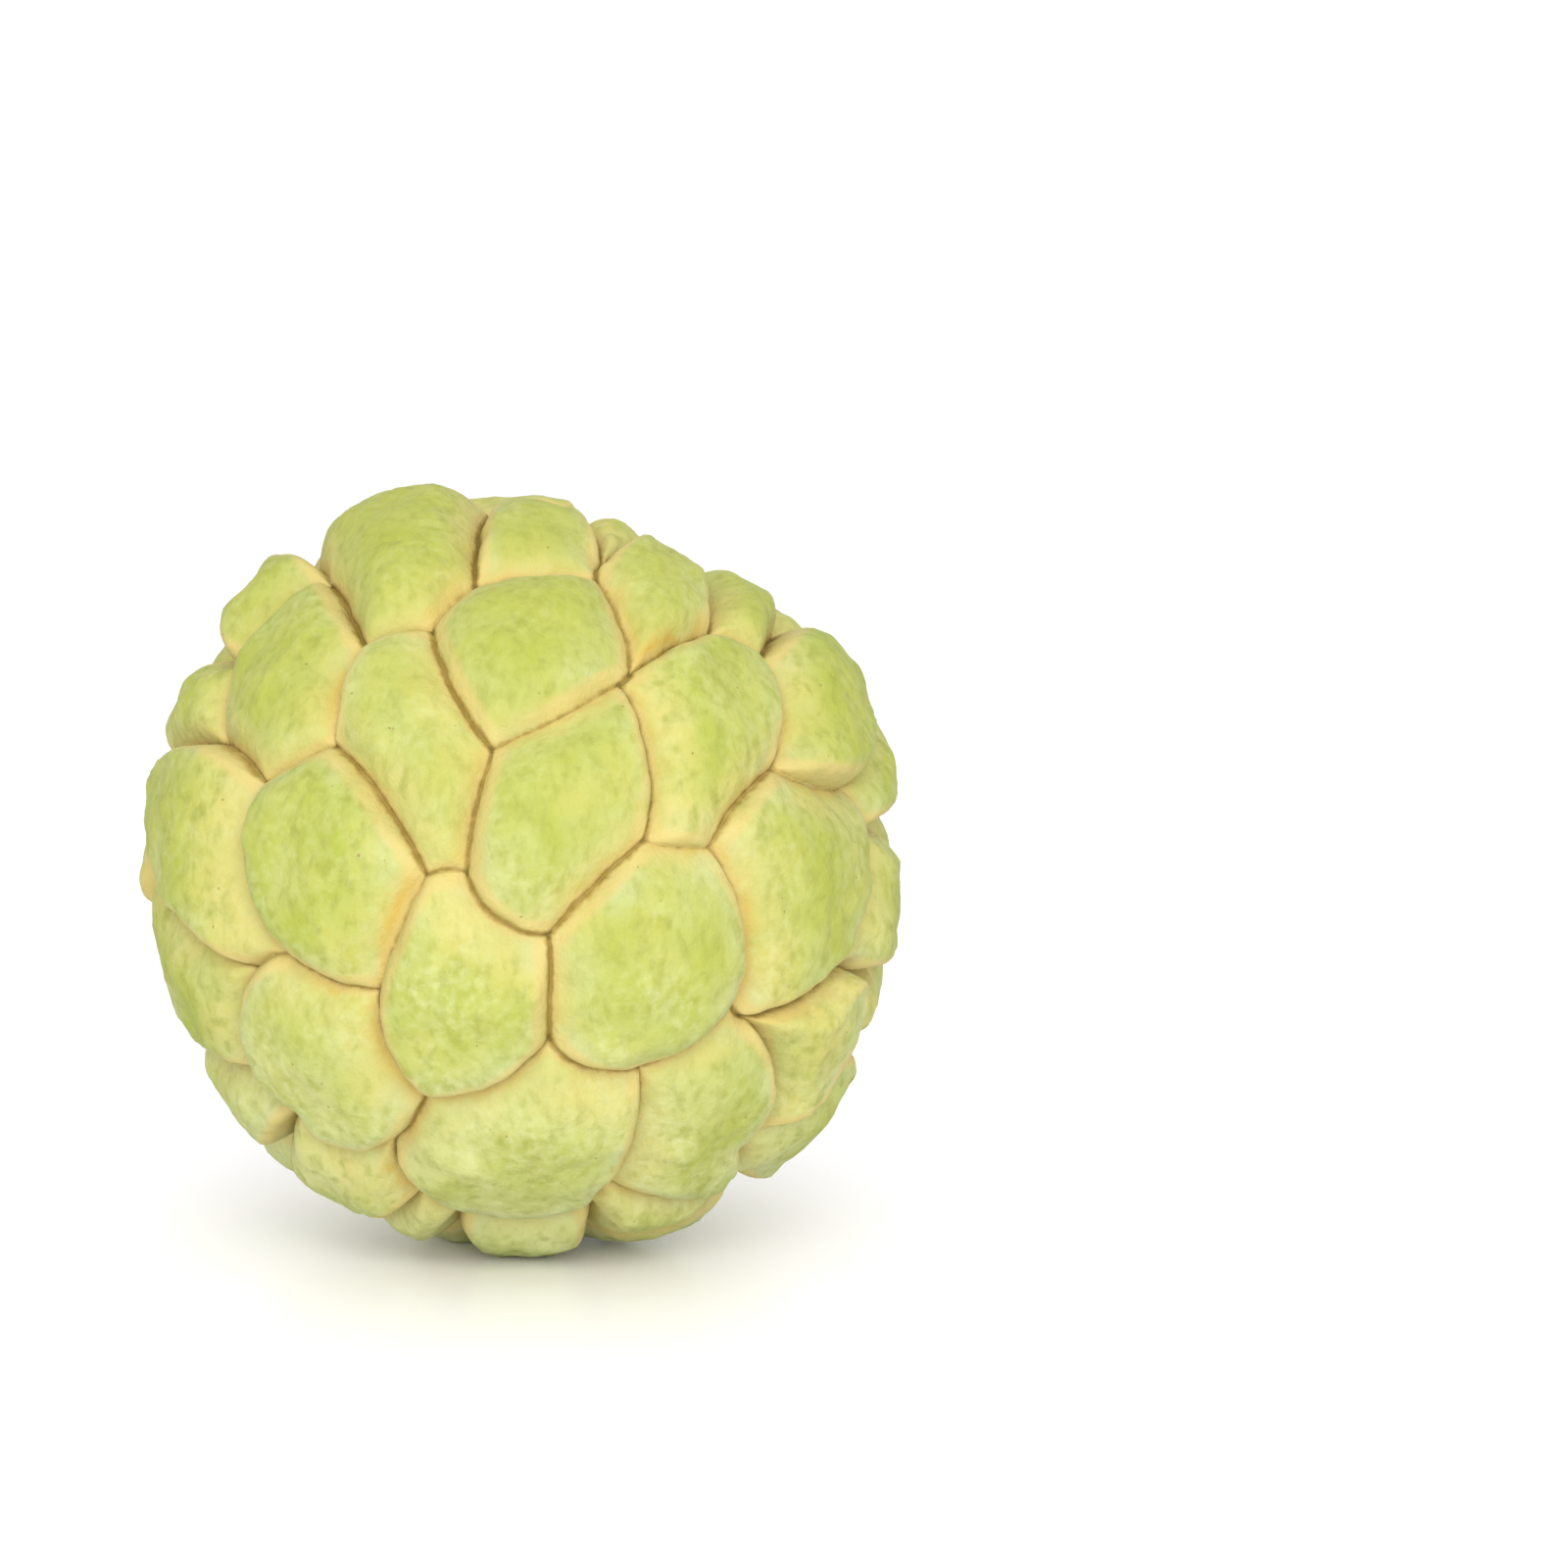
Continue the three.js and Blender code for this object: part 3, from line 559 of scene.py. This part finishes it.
def scale_raiser():
    tree, given, result = new_tree(
        "raise the scales", "GeometryNodeTree",
        [("Geometry", "Geometry"), ("Fruit centre", "Vector"), ("Fullness", "Float", 0.9),
         ("Flatness", "Float", 1.4), ("Lump height", "Float", 0.0011), ("Lump size", "Float", 0.006),
         ("Ripple height", "Float", 0.00022), ("Ripple size", "Float", 0.0018),
         ("Crack wander", "Float", 0.0010), ("Wander size", "Float", 0.004), ("Seed", "Float", 3.0),
         ("Material", "Material")],
        [("Geometry", "Geometry")])

    def named(name):
        return add(tree, "GeometryNodeInputNamedAttribute", {"Name": name}, data_type="FLOAT").outputs[0]

    def noise(size, seed_step, output=0):
        scale = calc(tree, "DIVIDE", 1.0, given[size])
        return add(tree, "ShaderNodeTexNoise", {
            "Vector": position, "Scale": scale, "Detail": 2.0,
            "W": calc(tree, "ADD", given["Seed"], seed_step)}, noise_dimensions="4D").outputs[output]

    position = add(tree, "GeometryNodeInputPosition").outputs[0]
    from_centre = vector_calc(tree, "SUBTRACT", position, given["Fruit centre"])
    outward = vector_calc(tree, "NORMALIZE", from_centre)
    part = calc(tree, "SUBTRACT", 1.0, named("dome"), clamp=True)
    shape = calc(tree, "SUBTRACT", 1.0, calc(tree, "POWER", part, given["Flatness"]), clamp=True)
    shape = calc(tree, "POWER", shape, given["Fullness"])
    lumps = calc(tree, "SUBTRACT", noise("Lump size", 0.0), 0.5)
    lumps = calc(tree, "MULTIPLY", lumps, given["Lump height"])
    ripples = calc(tree, "SUBTRACT", noise("Ripple size", 7.0), 0.5)
    ripples = calc(tree, "MULTIPLY", ripples, given["Ripple height"])
    rough = calc(tree, "MULTIPLY", calc(tree, "ADD", lumps, ripples), calc(tree, "MULTIPLY", shape, 2.0))
    height = calc(tree, "ADD", calc(tree, "MULTIPLY", shape, named("stand")), rough)
    wander = vector_calc(tree, "SUBTRACT", noise("Wander size", 20.0, output=1), (0.5, 0.5, 0.5))
    wander = scaled(tree, wander, given["Crack wander"])
    raised = add(tree, "GeometryNodeSetPosition", {
        "Geometry": given["Geometry"],
        "Offset": vector_calc(tree, "ADD", scaled(tree, outward, height), wander)}).outputs[0]
    flat = vector_calc(tree, "MAXIMUM", position, LOWEST)
    pressed = add(tree, "GeometryNodeSetPosition", {"Geometry": raised, "Position": flat}).outputs[0]
    end_tree(tree, pressed, given, result)
    return tree


raiser = scale_raiser()
print("tree inputs:", [item.name for item in raiser.interface.items_tree if item.in_out == "INPUT"])

# %% Raise the rind
def apply_tree(piece, tree, **values):
    """Runs a tree on a piece with these inputs, and leaves its result as the piece's plain mesh."""
    modifier = piece.modifiers.new(tree.name, "NODES")
    modifier.node_group = tree
    sockets = {item.name: item.identifier for item in tree.interface.items_tree if item.in_out == "INPUT"}
    for name, value in values.items():
        modifier[sockets[name.replace("_", " ").capitalize()]] = value
    bpy.context.view_layer.update()
    graph = bpy.context.evaluated_depsgraph_get()
    evaluated = piece.evaluated_get(graph)
    made = bpy.data.meshes.new_from_object(evaluated, preserve_all_data_layers=True, depsgraph=graph)
    piece.modifiers.remove(modifier)
    piece.data = made


apply_tree(rind, raiser, fruit_centre=FRUIT_CENTRE)
ground = np.array([v.co for v in rind.data.vertices])
shift = Vector((*(-(ground.min(0) + ground.max(0)) / 2)[:2], 0))
rind.data.transform(Matrix.Translation(shift))
print("rind is", (np.ptp(ground, axis=0) / MM).round(1), "mm, shifted", (np.array(shift) / MM).round(2))

# %% [markdown]
# ## The stub of the stalk
# A picked fruit keeps a few millimetres of woody stalk. It is turned out of rings: each ring is a
# wobbly circle, so that the bark gets its ridges, and a narrow collar swells where it joins the fruit.
# The cut end is a little askew and slightly hollow, because the pith dries first.

# %% Build the stalk
STALK_RADIUS, STALK_SIDES, STALK_SLANT = 3.9, 96, 0.12
STALK_PROFILE = [   # height above the scale it stands on, and how far out from the radius, mm
    (-3.2, 0), (-1.0, 0.9), (-0.2, 1.45), (0.1, 1.3), (0.5, 0.75), (0.9, 0.4), (1.5, 0.15), (2.2, 0.0),
    (3.0, 0.05), (3.8, -0.05), (4.6, 0.05), (5.3, 0.0), (5.8, -0.05), (6.05, -0.2), (6.15, -0.45)]
STALK_FOOT, STALK_TOP = STALK_PROFILE[0][0], STALK_PROFILE[-1][0]
CUT_RINGS = [   # share of the radius, and dip in mm
    (0.93, -0.02), (0.8, -0.06), (0.6, -0.12), (0.36, -0.2), (0.16, -0.3)]
CUT_MIDDLE = 5.8                     # mm, height of the hollow's lowest point
SLANT_FROM = 5.0                     # mm, the height where the top begins to lean


def ridge(turn, height):
    """How far the bark stands out at a turn, in mm."""
    return (0.25 * math.cos(2 * turn + 0.4) + 0.12 * math.cos(5 * turn + 0.3 * height)
            + 0.1 * math.cos(11 * turn - 0.5 * height) + 0.06 * math.cos(19 * turn + height))


rings = []
for height, out in STALK_PROFILE:
    turns = [2 * math.pi * k / STALK_SIDES for k in range(STALK_SIDES)]
    reach = [STALK_RADIUS + out + ridge(turn, height) for turn in turns]
    lean = STALK_SLANT * max(0, (height - SLANT_FROM) / (STALK_TOP - SLANT_FROM))
    rings.append([(r * math.cos(t), r * math.sin(t), height + lean * r * math.cos(t))
                  for r, t in zip(reach, turns)])
for size, dip in CUT_RINGS:
    rings.append([(x * size, y * size, STALK_TOP + (z - STALK_TOP) * size + dip)
                  for x, y, z in rings[len(STALK_PROFILE) - 1]])
stalk_points = [p for ring in rings for p in ring] + [(0, 0, STALK_FOOT), (0, 0, CUT_MIDDLE)]
last = (len(rings) - 1) * STALK_SIDES
stalk_faces = []
for k in range(STALK_SIDES):
    n = (k + 1) % STALK_SIDES
    stalk_faces += [(low + k, low + n, low + STALK_SIDES + n, low + STALK_SIDES + k)
                    for low in range(0, last, STALK_SIDES)]
    stalk_faces += [(len(stalk_points) - 2, n, k), (len(stalk_points) - 1, last + k, last + n)]
stalk_mesh = bpy.data.meshes.new("stalk")
stalk_mesh.from_pydata(stalk_points, [], stalk_faces)
stalk_mesh.polygons.foreach_set("use_smooth", [True] * len(stalk_faces))
remember(stalk_mesh, cut=[i // STALK_SIDES >= len(STALK_PROFILE) for i in range(len(stalk_points))])
foot = Vector(STEM * (core(STEM) + STEM_STAND)) * MM + FRUIT_CENTRE + shift
standing = Vector(STEM).to_track_quat("Z", "Y").to_matrix().to_4x4()
stalk_mesh.transform(Matrix.Translation(foot) @ standing @ Matrix.Scale(MM, 4))
stalk = plain_object("stalk_stub", stalk_mesh)
print("stalk has", len(stalk_faces), "faces")

# %% [markdown]
# ## Corky specks
# Rubbing leaves and small insects leave dry dots on the rind. They repeat all over and sit on the
# surface, so a second tree scatters them: it draws points on the rind, keeps off the cracks, and
# stands a tiny flattened ball on each. The seed is fixed, so the dots are the same in every run.

# %% The tree that scatters the specks
def speck_scatterer():
    tree, given, result = new_tree(
        "scatter the specks", "GeometryNodeTree",
        [("Geometry", "Geometry"), ("Density", "Float", 8000.0), ("Least size", "Float", 0.00007),
         ("Most size", "Float", 0.00022), ("Flatness", "Float", 0.3), ("Keep off", "Float", 0.3),
         ("Seed", "Int", 4), ("Material", "Material")],
        [("Geometry", "Geometry")])
    dome = add(tree, "GeometryNodeInputNamedAttribute", {"Name": "dome"}, data_type="FLOAT").outputs[0]
    spread = add(tree, "GeometryNodeDistributePointsOnFaces", {
        "Mesh": given["Geometry"], "Density": given["Density"], "Seed": given["Seed"],
        "Selection": calc(tree, "GREATER_THAN", dome, given["Keep off"])})

    def draw_size(step):
        least, most, drawn = 2, 3, 1     # the node's sockets for plain numbers
        return add(tree, "FunctionNodeRandomValue", {
            least: given["Least size"], most: given["Most size"],
            "Seed": calc(tree, "ADD", given["Seed"], step)}, data_type="FLOAT").outputs[drawn]

    length, width = draw_size(1), draw_size(2)
    size = add(tree, "ShaderNodeCombineXYZ", {
        "X": length, "Y": width, "Z": calc(tree, "MULTIPLY", width, given["Flatness"])}).outputs[0]
    ball = add(tree, "GeometryNodeMeshIcoSphere", {"Radius": 1.0, "Subdivisions": 1}).outputs[0]
    standing = add(tree, "GeometryNodeInstanceOnPoints", {
        "Points": spread.outputs["Points"], "Instance": ball, "Rotation": spread.outputs["Rotation"],
        "Scale": size}).outputs[0]
    end_tree(tree, standing, given, result)
    return tree


scatterer = speck_scatterer()
print("nodes in the tree:", len(scatterer.nodes))

# %% Scatter the specks
specks = plain_object("specks", rind.data.copy())
apply_tree(specks, scatterer)
BALL_FACES = 20
print("specks:", len(specks.data.polygons) // BALL_FACES)

# %% [markdown]
# ## Two effects that every finish shares
# Natural surfaces are patchy and grainy. `patches` turns a noise into soft-edged spots of a given
# size; `grain` gives a fine relief. Both are node groups, built once, and each material sets its own
# sizes on them. They read Object coordinates in metres, so a 4 mm patch is 4 mm on every piece.

# %% The shared node groups
def patches_group():
    tree, given, result = new_tree(
        "patches", "ShaderNodeTree",
        [("Vector", "Vector"), ("Size", "Float", 0.005), ("Detail", "Float", 3.0), ("Low", "Float", 0.45),
         ("High", "Float", 0.6), ("Seed", "Float", 0.0), ("Swirl", "Float", 0.0)],
        [("Mask", "Float")])
    noise = add(tree, "ShaderNodeTexNoise", {
        "Vector": given["Vector"], "Scale": calc(tree, "DIVIDE", 1.0, given["Size"]),
        "Detail": given["Detail"], "W": given["Seed"], "Distortion": given["Swirl"]},
        noise_dimensions="4D")
    mask = add(tree, "ShaderNodeMapRange", {
        "Value": noise.outputs[0], "From Min": given["Low"], "From Max": given["High"]},
        interpolation_type="SMOOTHSTEP")
    tree.links.new(mask.outputs[0], result[0])
    return tree


def grain_group():
    tree, given, result = new_tree(
        "grain", "ShaderNodeTree",
        [("Vector", "Vector"), ("Coarse size", "Float", 0.0012), ("Fine size", "Float", 0.0004),
         ("Fine share", "Float", 0.4)],
        [("Height", "Float")])
    coarse, fine = (add(tree, "ShaderNodeTexNoise", {
        "Vector": given["Vector"], "Scale": calc(tree, "DIVIDE", 1.0, given[size]),
        "Detail": 2.0}).outputs[0] for size in ("Coarse size", "Fine size"))
    height = calc(tree, "ADD", coarse, calc(tree, "MULTIPLY", fine, given["Fine share"]))
    tree.links.new(height, result[0])
    return tree


PATCHES, GRAIN = patches_group(), grain_group()
print("shared groups:", PATCHES.name, GRAIN.name)

# %% Helpers for materials
def new_material(name, roughness):
    """A material with its Principled BSDF and the object coordinates its patterns follow."""
    material = bpy.data.materials.new(name)
    material.use_nodes = True
    tree = material.node_tree
    shader = tree.nodes["Principled BSDF"]
    shader.inputs["Roughness"].default_value = roughness
    coordinates = tree.nodes.new("ShaderNodeTexCoord").outputs["Object"]
    return material, tree, shader, coordinates


def cover(piece, material):
    piece.data.materials.clear()
    piece.data.materials.append(material)


def attribute(tree, name):
    return add(tree, "ShaderNodeAttribute", attribute_name=name).outputs["Fac"]


def patches(tree, vector, size, low, high, seed, detail=3.0, swirl=0.0):
    return add(tree, "ShaderNodeGroup", {
        "Vector": vector, "Size": size, "Low": low, "High": high, "Seed": seed, "Detail": detail,
        "Swirl": swirl}, node_tree=PATCHES).outputs[0]


def ramp(tree, value, start, end, low=0.0, high=1.0):
    """A soft step from low at start to high at end."""
    return add(tree, "ShaderNodeMapRange", {
        "Value": value, "From Min": start, "From Max": end, "To Min": low, "To Max": high},
        interpolation_type="SMOOTHSTEP").outputs[0]


def blend(tree, mask, under, over):
    """The colour under, covered by the colour over where the mask is 1."""
    first, second, mixed = 6, 7, 2       # the node's sockets for colours
    node = add(tree, "ShaderNodeMix", {"Factor": mask}, data_type="RGBA")
    for key, colour in ((first, under), (second, over)):
        if isinstance(colour, bpy.types.NodeSocket):
            tree.links.new(colour, node.inputs[key])
        else:
            node.inputs[key].default_value = (*colour, 1)
    return node.outputs[mixed]


def grainy(tree, shader, vector, depth, coarse, fine, share):
    """A bump from the shared grain; depth and sizes in metres."""
    height = add(tree, "ShaderNodeGroup", {
        "Vector": vector, "Coarse size": coarse, "Fine size": fine, "Fine share": share},
        node_tree=GRAIN).outputs[0]
    normal = add(tree, "ShaderNodeBump", {"Height": height, "Distance": depth}).outputs[0]
    tree.links.new(normal, shader.inputs["Normal"])


print("materials can now be mixed")

# %% [markdown]
# ## The rind's finish
# The tops of the scales are a mottled yellow-green, paler and mealy towards the bottom of the fruit,
# and turn darker olive towards its top, which is painted shade. A scale is cream where it slopes below
# its neighbour, with tan and orange close to the crack, and has a pale bloom where it lies above. A
# ragged line of brown cork with a tan seam beside it runs along most cracks, and where brown cracks
# meet, painted shade darkens the corner almost to black. The mesh carries how far each point is from
# all of these, so each is one soft step from a distance, broken up with patches. Painting them by hand
# would need an image, which would blur close up.

# %% The colours and the spots of the rind
# the third colour is painted shade: a darker olive for the top of the fruit
YELLOW_GREEN, PALE_GREEN, PAINTED_TOP_SHADE = (0.415, 0.415, 0.09), (0.40, 0.43, 0.13), (0.35, 0.36, 0.065)
LEAF_GREEN, OLIVE = (0.31, 0.355, 0.038), (0.265, 0.285, 0.042)
CREAM, TAN, ORANGE = (0.52, 0.46, 0.145), (0.40, 0.30, 0.075), (0.50, 0.33, 0.055)
BLOOM, MEAL, RIM = (0.425, 0.465, 0.22), (0.55, 0.58, 0.27), (0.54, 0.43, 0.145)
# the last colour here is painted shade for the corners where brown cracks meet
SEAM, CORK, PAINTED_CORNER_SHADE = (0.35, 0.24, 0.055), (0.29, 0.205, 0.04), (0.13, 0.09, 0.016)
SPOTS = {   # size in m, the noise at which they begin and are full, seed, detail, swirl
    "pale": (0.006, 0.34, 0.66, 1.0, 4.0), "leaf": (0.006, 0.28, 0.66, 2.0, 5.0, 0.25),
    "cream": (0.009, 0.25, 0.65, 5.0, 4.0, 0.3), "bloom": (0.007, 0.36, 0.64, 4.0, 4.0),
    "fibres": (0.0014, 0.42, 0.76, 3.0, 6.0, 0.3), "crumbs": (0.0012, 0.36, 0.76, 9.0, 6.0),
    "meal": (0.008, 0.3, 0.7, 10.0), "orange": (0.005, 0.3, 0.55, 8.0, 4.0),
    "nibbles": (0.0011, 0.3, 0.7, 12.0), "rim": (0.007, 0.2, 0.5, 11.0),
    "cork": (0.0025, 0.28, 0.55, 7.0),
}
STRETCH = (1, 1, 0.6)                # a pattern on this runs up the fruit
LOW, HIGH = 0.0, 0.09                # m, the fruit from bottom to top


def spots(tree, place, kind):
    return patches(tree, place, *SPOTS[kind])


def both(tree, *masks):
    """The product of masks: where all of them are. A plain number sets how much shows at most."""
    whole = masks[0]
    for mask in masks[1:]:
        whole = calc(tree, "MULTIPLY", whole, mask)
    return whole


def either(tree, one, other):
    return calc(tree, "MAXIMUM", one, other)


print(len(SPOTS), "kinds of spots")

# %% [markdown]
# The finish goes on in layers, as a painter would lay it, from the tops of the scales down into the
# cracks. `at` holds what the layers read: the place, the height, and the marks that the mesh carries.
# The two numbers after a mark are where a layer begins and where it is full, in mm from a crack.

# %% Layers on the tops and the slopes
def paint_tops(tree, at, colour):
    colour = blend(tree, spots(tree, at["place"], "pale"), colour, PALE_GREEN)
    # painted shade: from half its height up, the fruit turns darker olive towards the top
    colour = blend(tree, ramp(tree, at["height"], 0.5 * HIGH, HIGH, 0.0, 0.6), colour, PAINTED_TOP_SHADE)
    colour = blend(tree, ramp(tree, at["height"], 0.42 * HIGH, LOW, 0.0, 0.9), colour, MEAL)
    # the scales' greenness mark, which near the outline also carries painted shade, adds leafy patches
    leafy = both(tree, spots(tree, at["upright"], "leaf"), ramp(tree, at["dome"], 0.2, 0.95),
                 ramp(tree, at["green"], 0.1, 0.9, 0.35, 1.0))
    return blend(tree, leafy, colour, LEAF_GREEN)


def paint_slopes(tree, at, colour):
    cream = both(tree, ramp(tree, at["tuck"], 6.5, 0.8), spots(tree, at["place"], "cream"), 0.85)
    colour = blend(tree, cream, colour, CREAM)
    bloom = both(tree, ramp(tree, at["rim"], 6.0, 1.0), spots(tree, at["place"], "bloom"),
                 ramp(tree, at["height"], HIGH, LOW, 0.4, 0.9))
    return blend(tree, bloom, colour, BLOOM)


def paint_crumbs(tree, at, colour):
    # the same mark adds olive fibres, so near the outline these are partly painted shade too
    fibres = both(tree, spots(tree, at["upright"], "fibres"), ramp(tree, at["dome"], 0.05, 0.5),
                  ramp(tree, at["green"], 0.0, 1.0, 0.5, 0.9))
    colour = blend(tree, fibres, colour, OLIVE)
    crumbs = both(tree, spots(tree, at["place"], "crumbs"), spots(tree, at["place"], "meal"),
                  ramp(tree, at["height"], 0.7 * HIGH, 0.1 * HIGH, 0.3, 0.7))
    return blend(tree, crumbs, colour, MEAL)


# %% Layers in and beside the cracks
def paint_glow(tree, at, colour):
    glow = both(tree, at["warm"], spots(tree, at["place"], "orange"))
    return blend(tree, ramp(tree, glow, 0.05, 0.8, 0.0, 0.85), colour, ORANGE)


def paint_cracks(tree, at, colour):
    ragged = calc(tree, "SUBTRACT", at["line"], both(tree, spots(tree, at["place"], "nibbles"), 0.5))
    tan = both(tree, ramp(tree, at["tuck"], 1.8, 0.3), ramp(tree, ragged, 1.35, 0.15), 0.8)
    colour = blend(tree, tan, colour, TAN)
    beside = either(tree, ramp(tree, at["edge"], 1.3, 0.4), ramp(tree, at["rim"], 2.6, 1.2))
    colour = blend(tree, both(tree, beside, spots(tree, at["place"], "rim"), 0.8), colour, RIM)
    beside = either(tree, ramp(tree, at["tuck"], 0.9, 0.35), ramp(tree, at["rim"], 1.1, 0.5))
    colour = blend(tree, both(tree, beside, ramp(tree, ragged, 1.2, 0.3), 0.75), colour, SEAM)
    cork = both(tree, ramp(tree, ragged, 0.75, 0.1), spots(tree, at["place"], "cork"), 0.95)
    colour = blend(tree, cork, colour, CORK)
    # painted shade: the corners where brown cracks meet are darkened almost to black
    corner_shade = both(tree, ramp(tree, at["corner"], 0.9, 0.3), ramp(tree, at["line"], 0.9, 0.2), 0.8)
    return blend(tree, corner_shade, colour, PAINTED_CORNER_SHADE)


LAYERS = (paint_tops, paint_slopes, paint_crumbs, paint_glow, paint_cracks)
print(len(LAYERS), "layers of paint")

# %% Mix the rind
def mix_rind():
    material, tree, shader, place = new_material("rind", roughness=0.65)
    at = {mark: attribute(tree, mark)
          for mark in ("edge", "line", "tuck", "rim", "warm", "corner", "dome", "green")}
    at["place"] = place
    at["upright"] = add(tree, "ShaderNodeMapping", {"Vector": place, "Scale": STRETCH}).outputs[0]
    at["height"] = add(tree, "ShaderNodeSeparateXYZ", {"Vector": place}).outputs["Z"]
    colour = YELLOW_GREEN
    for paint in LAYERS:
        colour = paint(tree, at, colour)
    tree.links.new(colour, shader.inputs["Base Color"])
    shader.inputs["Specular IOR Level"].default_value = 0.3
    grainy(tree, shader, place, depth=0.00018, coarse=0.0013, fine=0.0004, share=0.4)
    return material


cover(rind, mix_rind())
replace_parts(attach(rind, "root"), "fruit")
print("rind finished")

# %% [markdown]
# ## Bark, cut wood and cork
# The stalk is bark round its side and bare wood where it was cut. Both are one material that reads
# the mesh's own mark of the cut, so that the join between them stays where the knife passed.

# %% Mix the stalk and the specks
BARK, BARK_LIGHT = (0.13, 0.08, 0.045), (0.30, 0.22, 0.14)
CUT_WOOD, PITH = (0.50, 0.38, 0.20), (0.24, 0.15, 0.07)
CORK_DARK, CORK_LIGHT = (0.26, 0.19, 0.05), (0.40, 0.33, 0.10)


def mix_stalk():
    material, tree, shader, place = new_material("stalk", roughness=0.85)
    flakes = patches(tree, place, size=0.0014, low=0.45, high=0.62, seed=1.0)
    pores = patches(tree, place, size=0.0007, low=0.4, high=0.65, seed=2.0)
    bark, wood = blend(tree, flakes, BARK, BARK_LIGHT), blend(tree, pores, CUT_WOOD, PITH)
    colour = blend(tree, attribute(tree, "cut"), bark, wood)
    tree.links.new(colour, shader.inputs["Base Color"])
    grainy(tree, shader, place, depth=0.00025, coarse=0.0009, fine=0.0003, share=0.5)
    return material


def mix_cork():
    material, tree, shader, place = new_material("cork", roughness=0.9)
    dots = patches(tree, place, size=0.0003, low=0.4, high=0.6, seed=3.0)
    tree.links.new(blend(tree, dots, CORK_DARK, CORK_LIGHT), shader.inputs["Base Color"])
    grainy(tree, shader, place, depth=0.00005, coarse=0.0002, fine=0.0001, share=0.4)
    return material


cover(stalk, mix_stalk())
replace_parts(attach(stalk, "root"), "stalk")
cover(specks, mix_cork())
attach(specks, "root")
print("stalk and specks finished")

# %% [markdown]
# ## The camera
# The eye is 600 mm from the middle of the fruit and looks down by 8 degrees. The fruit sits low and
# left in the frame, so the camera is turned a little to the right and up, not shifted.

# %% Place the camera
FRAME_PIXELS, FOCAL_PIXELS = 1600, 5200
FRUIT_PIXEL = (531, 889)             # where the middle of the fruit shows
SENSOR, CLIP_NEAR = 36, 0.01         # mm and m
eye = Vector(-AWAY) * EYE_AWAY * MM
camera = plain_object("camera", bpy.data.cameras.new("camera"))
camera.data.sensor_width = SENSOR
camera.data.lens = FOCAL_PIXELS / FRAME_PIXELS * SENSOR
camera.data.clip_start = CLIP_NEAR
camera.location = eye + FRUIT_CENTRE
yaw = math.atan((FRAME_PIXELS / 2 - FRUIT_PIXEL[0]) / FOCAL_PIXELS)
pitch = math.atan((FRUIT_PIXEL[1] - FRAME_PIXELS / 2) / FOCAL_PIXELS)
aim = (-eye).to_track_quat("-Z", "Y").to_matrix()
camera.rotation_euler = (aim @ Matrix.Rotation(-yaw, 3, "Y") @ Matrix.Rotation(pitch, 3, "X")).to_euler()
bpy.context.scene.camera = camera
print("camera at", (np.array(camera.location) / MM).round(0), "mm")

# %% [markdown]
# ## Floor and light
# A plain pale floor under an even white sky. One large soft lamp in front and above gives the scales
# their shading, and a second, low one lights the lower scales, which the sky hardly reaches. The
# floor has a faint gloss, so the fruit mirrors in it close to where it stands.

# %% Set up the studio
FLOOR_RADIUS, FLOOR_SIDES = 4.0, 64
FLOOR_DARK, FLOOR_LIGHT = (0.95, 0.935, 0.965), (0.97, 0.955, 0.985)
SKY_WHITE, SKY_STRENGTH = (1, 1, 1, 1), 1.06
floor_mesh = bpy.data.meshes.new("floor")
turns = [2 * math.pi * k / FLOOR_SIDES for k in range(FLOOR_SIDES)]
outline = [(FLOOR_RADIUS * math.cos(turn), FLOOR_RADIUS * math.sin(turn), 0) for turn in turns]
floor_mesh.from_pydata(outline, [], [tuple(range(FLOOR_SIDES))])
floor = plain_object("floor", floor_mesh)
floor_material, floor_tree, floor_shader, floor_place = new_material("floor", roughness=0.32)
cloudy = patches(floor_tree, floor_place, size=0.3, low=0.3, high=0.7, seed=1.0)
tone = blend(floor_tree, cloudy, FLOOR_DARK, FLOOR_LIGHT)
floor_tree.links.new(tone, floor_shader.inputs["Base Color"])
floor_shader.inputs["Specular IOR Level"].default_value = 0.25
cover(floor, floor_material)

world = bpy.data.worlds.new("sky")
scene.world = world
world.use_nodes = True
background = world.node_tree.nodes["Background"]
background.inputs["Color"].default_value = SKY_WHITE
background.inputs["Strength"].default_value = SKY_STRENGTH
scene.view_settings.view_transform = "Standard"


def soft_lamp(name, place, size, watts):
    lamp = plain_object(name, bpy.data.lights.new(name, "AREA"))
    lamp.data.size, lamp.data.energy = size, watts
    lamp.location = place
    lamp.rotation_euler = (FRUIT_CENTRE - Vector(place)).to_track_quat("-Z", "Y").to_euler()


soft_lamp("key", place=(0.0, -0.95, 0.5), size=0.7, watts=7)
soft_lamp("fill", place=(0.0, -1.2, 0.1), size=0.8, watts=3.5)
print("studio ready")
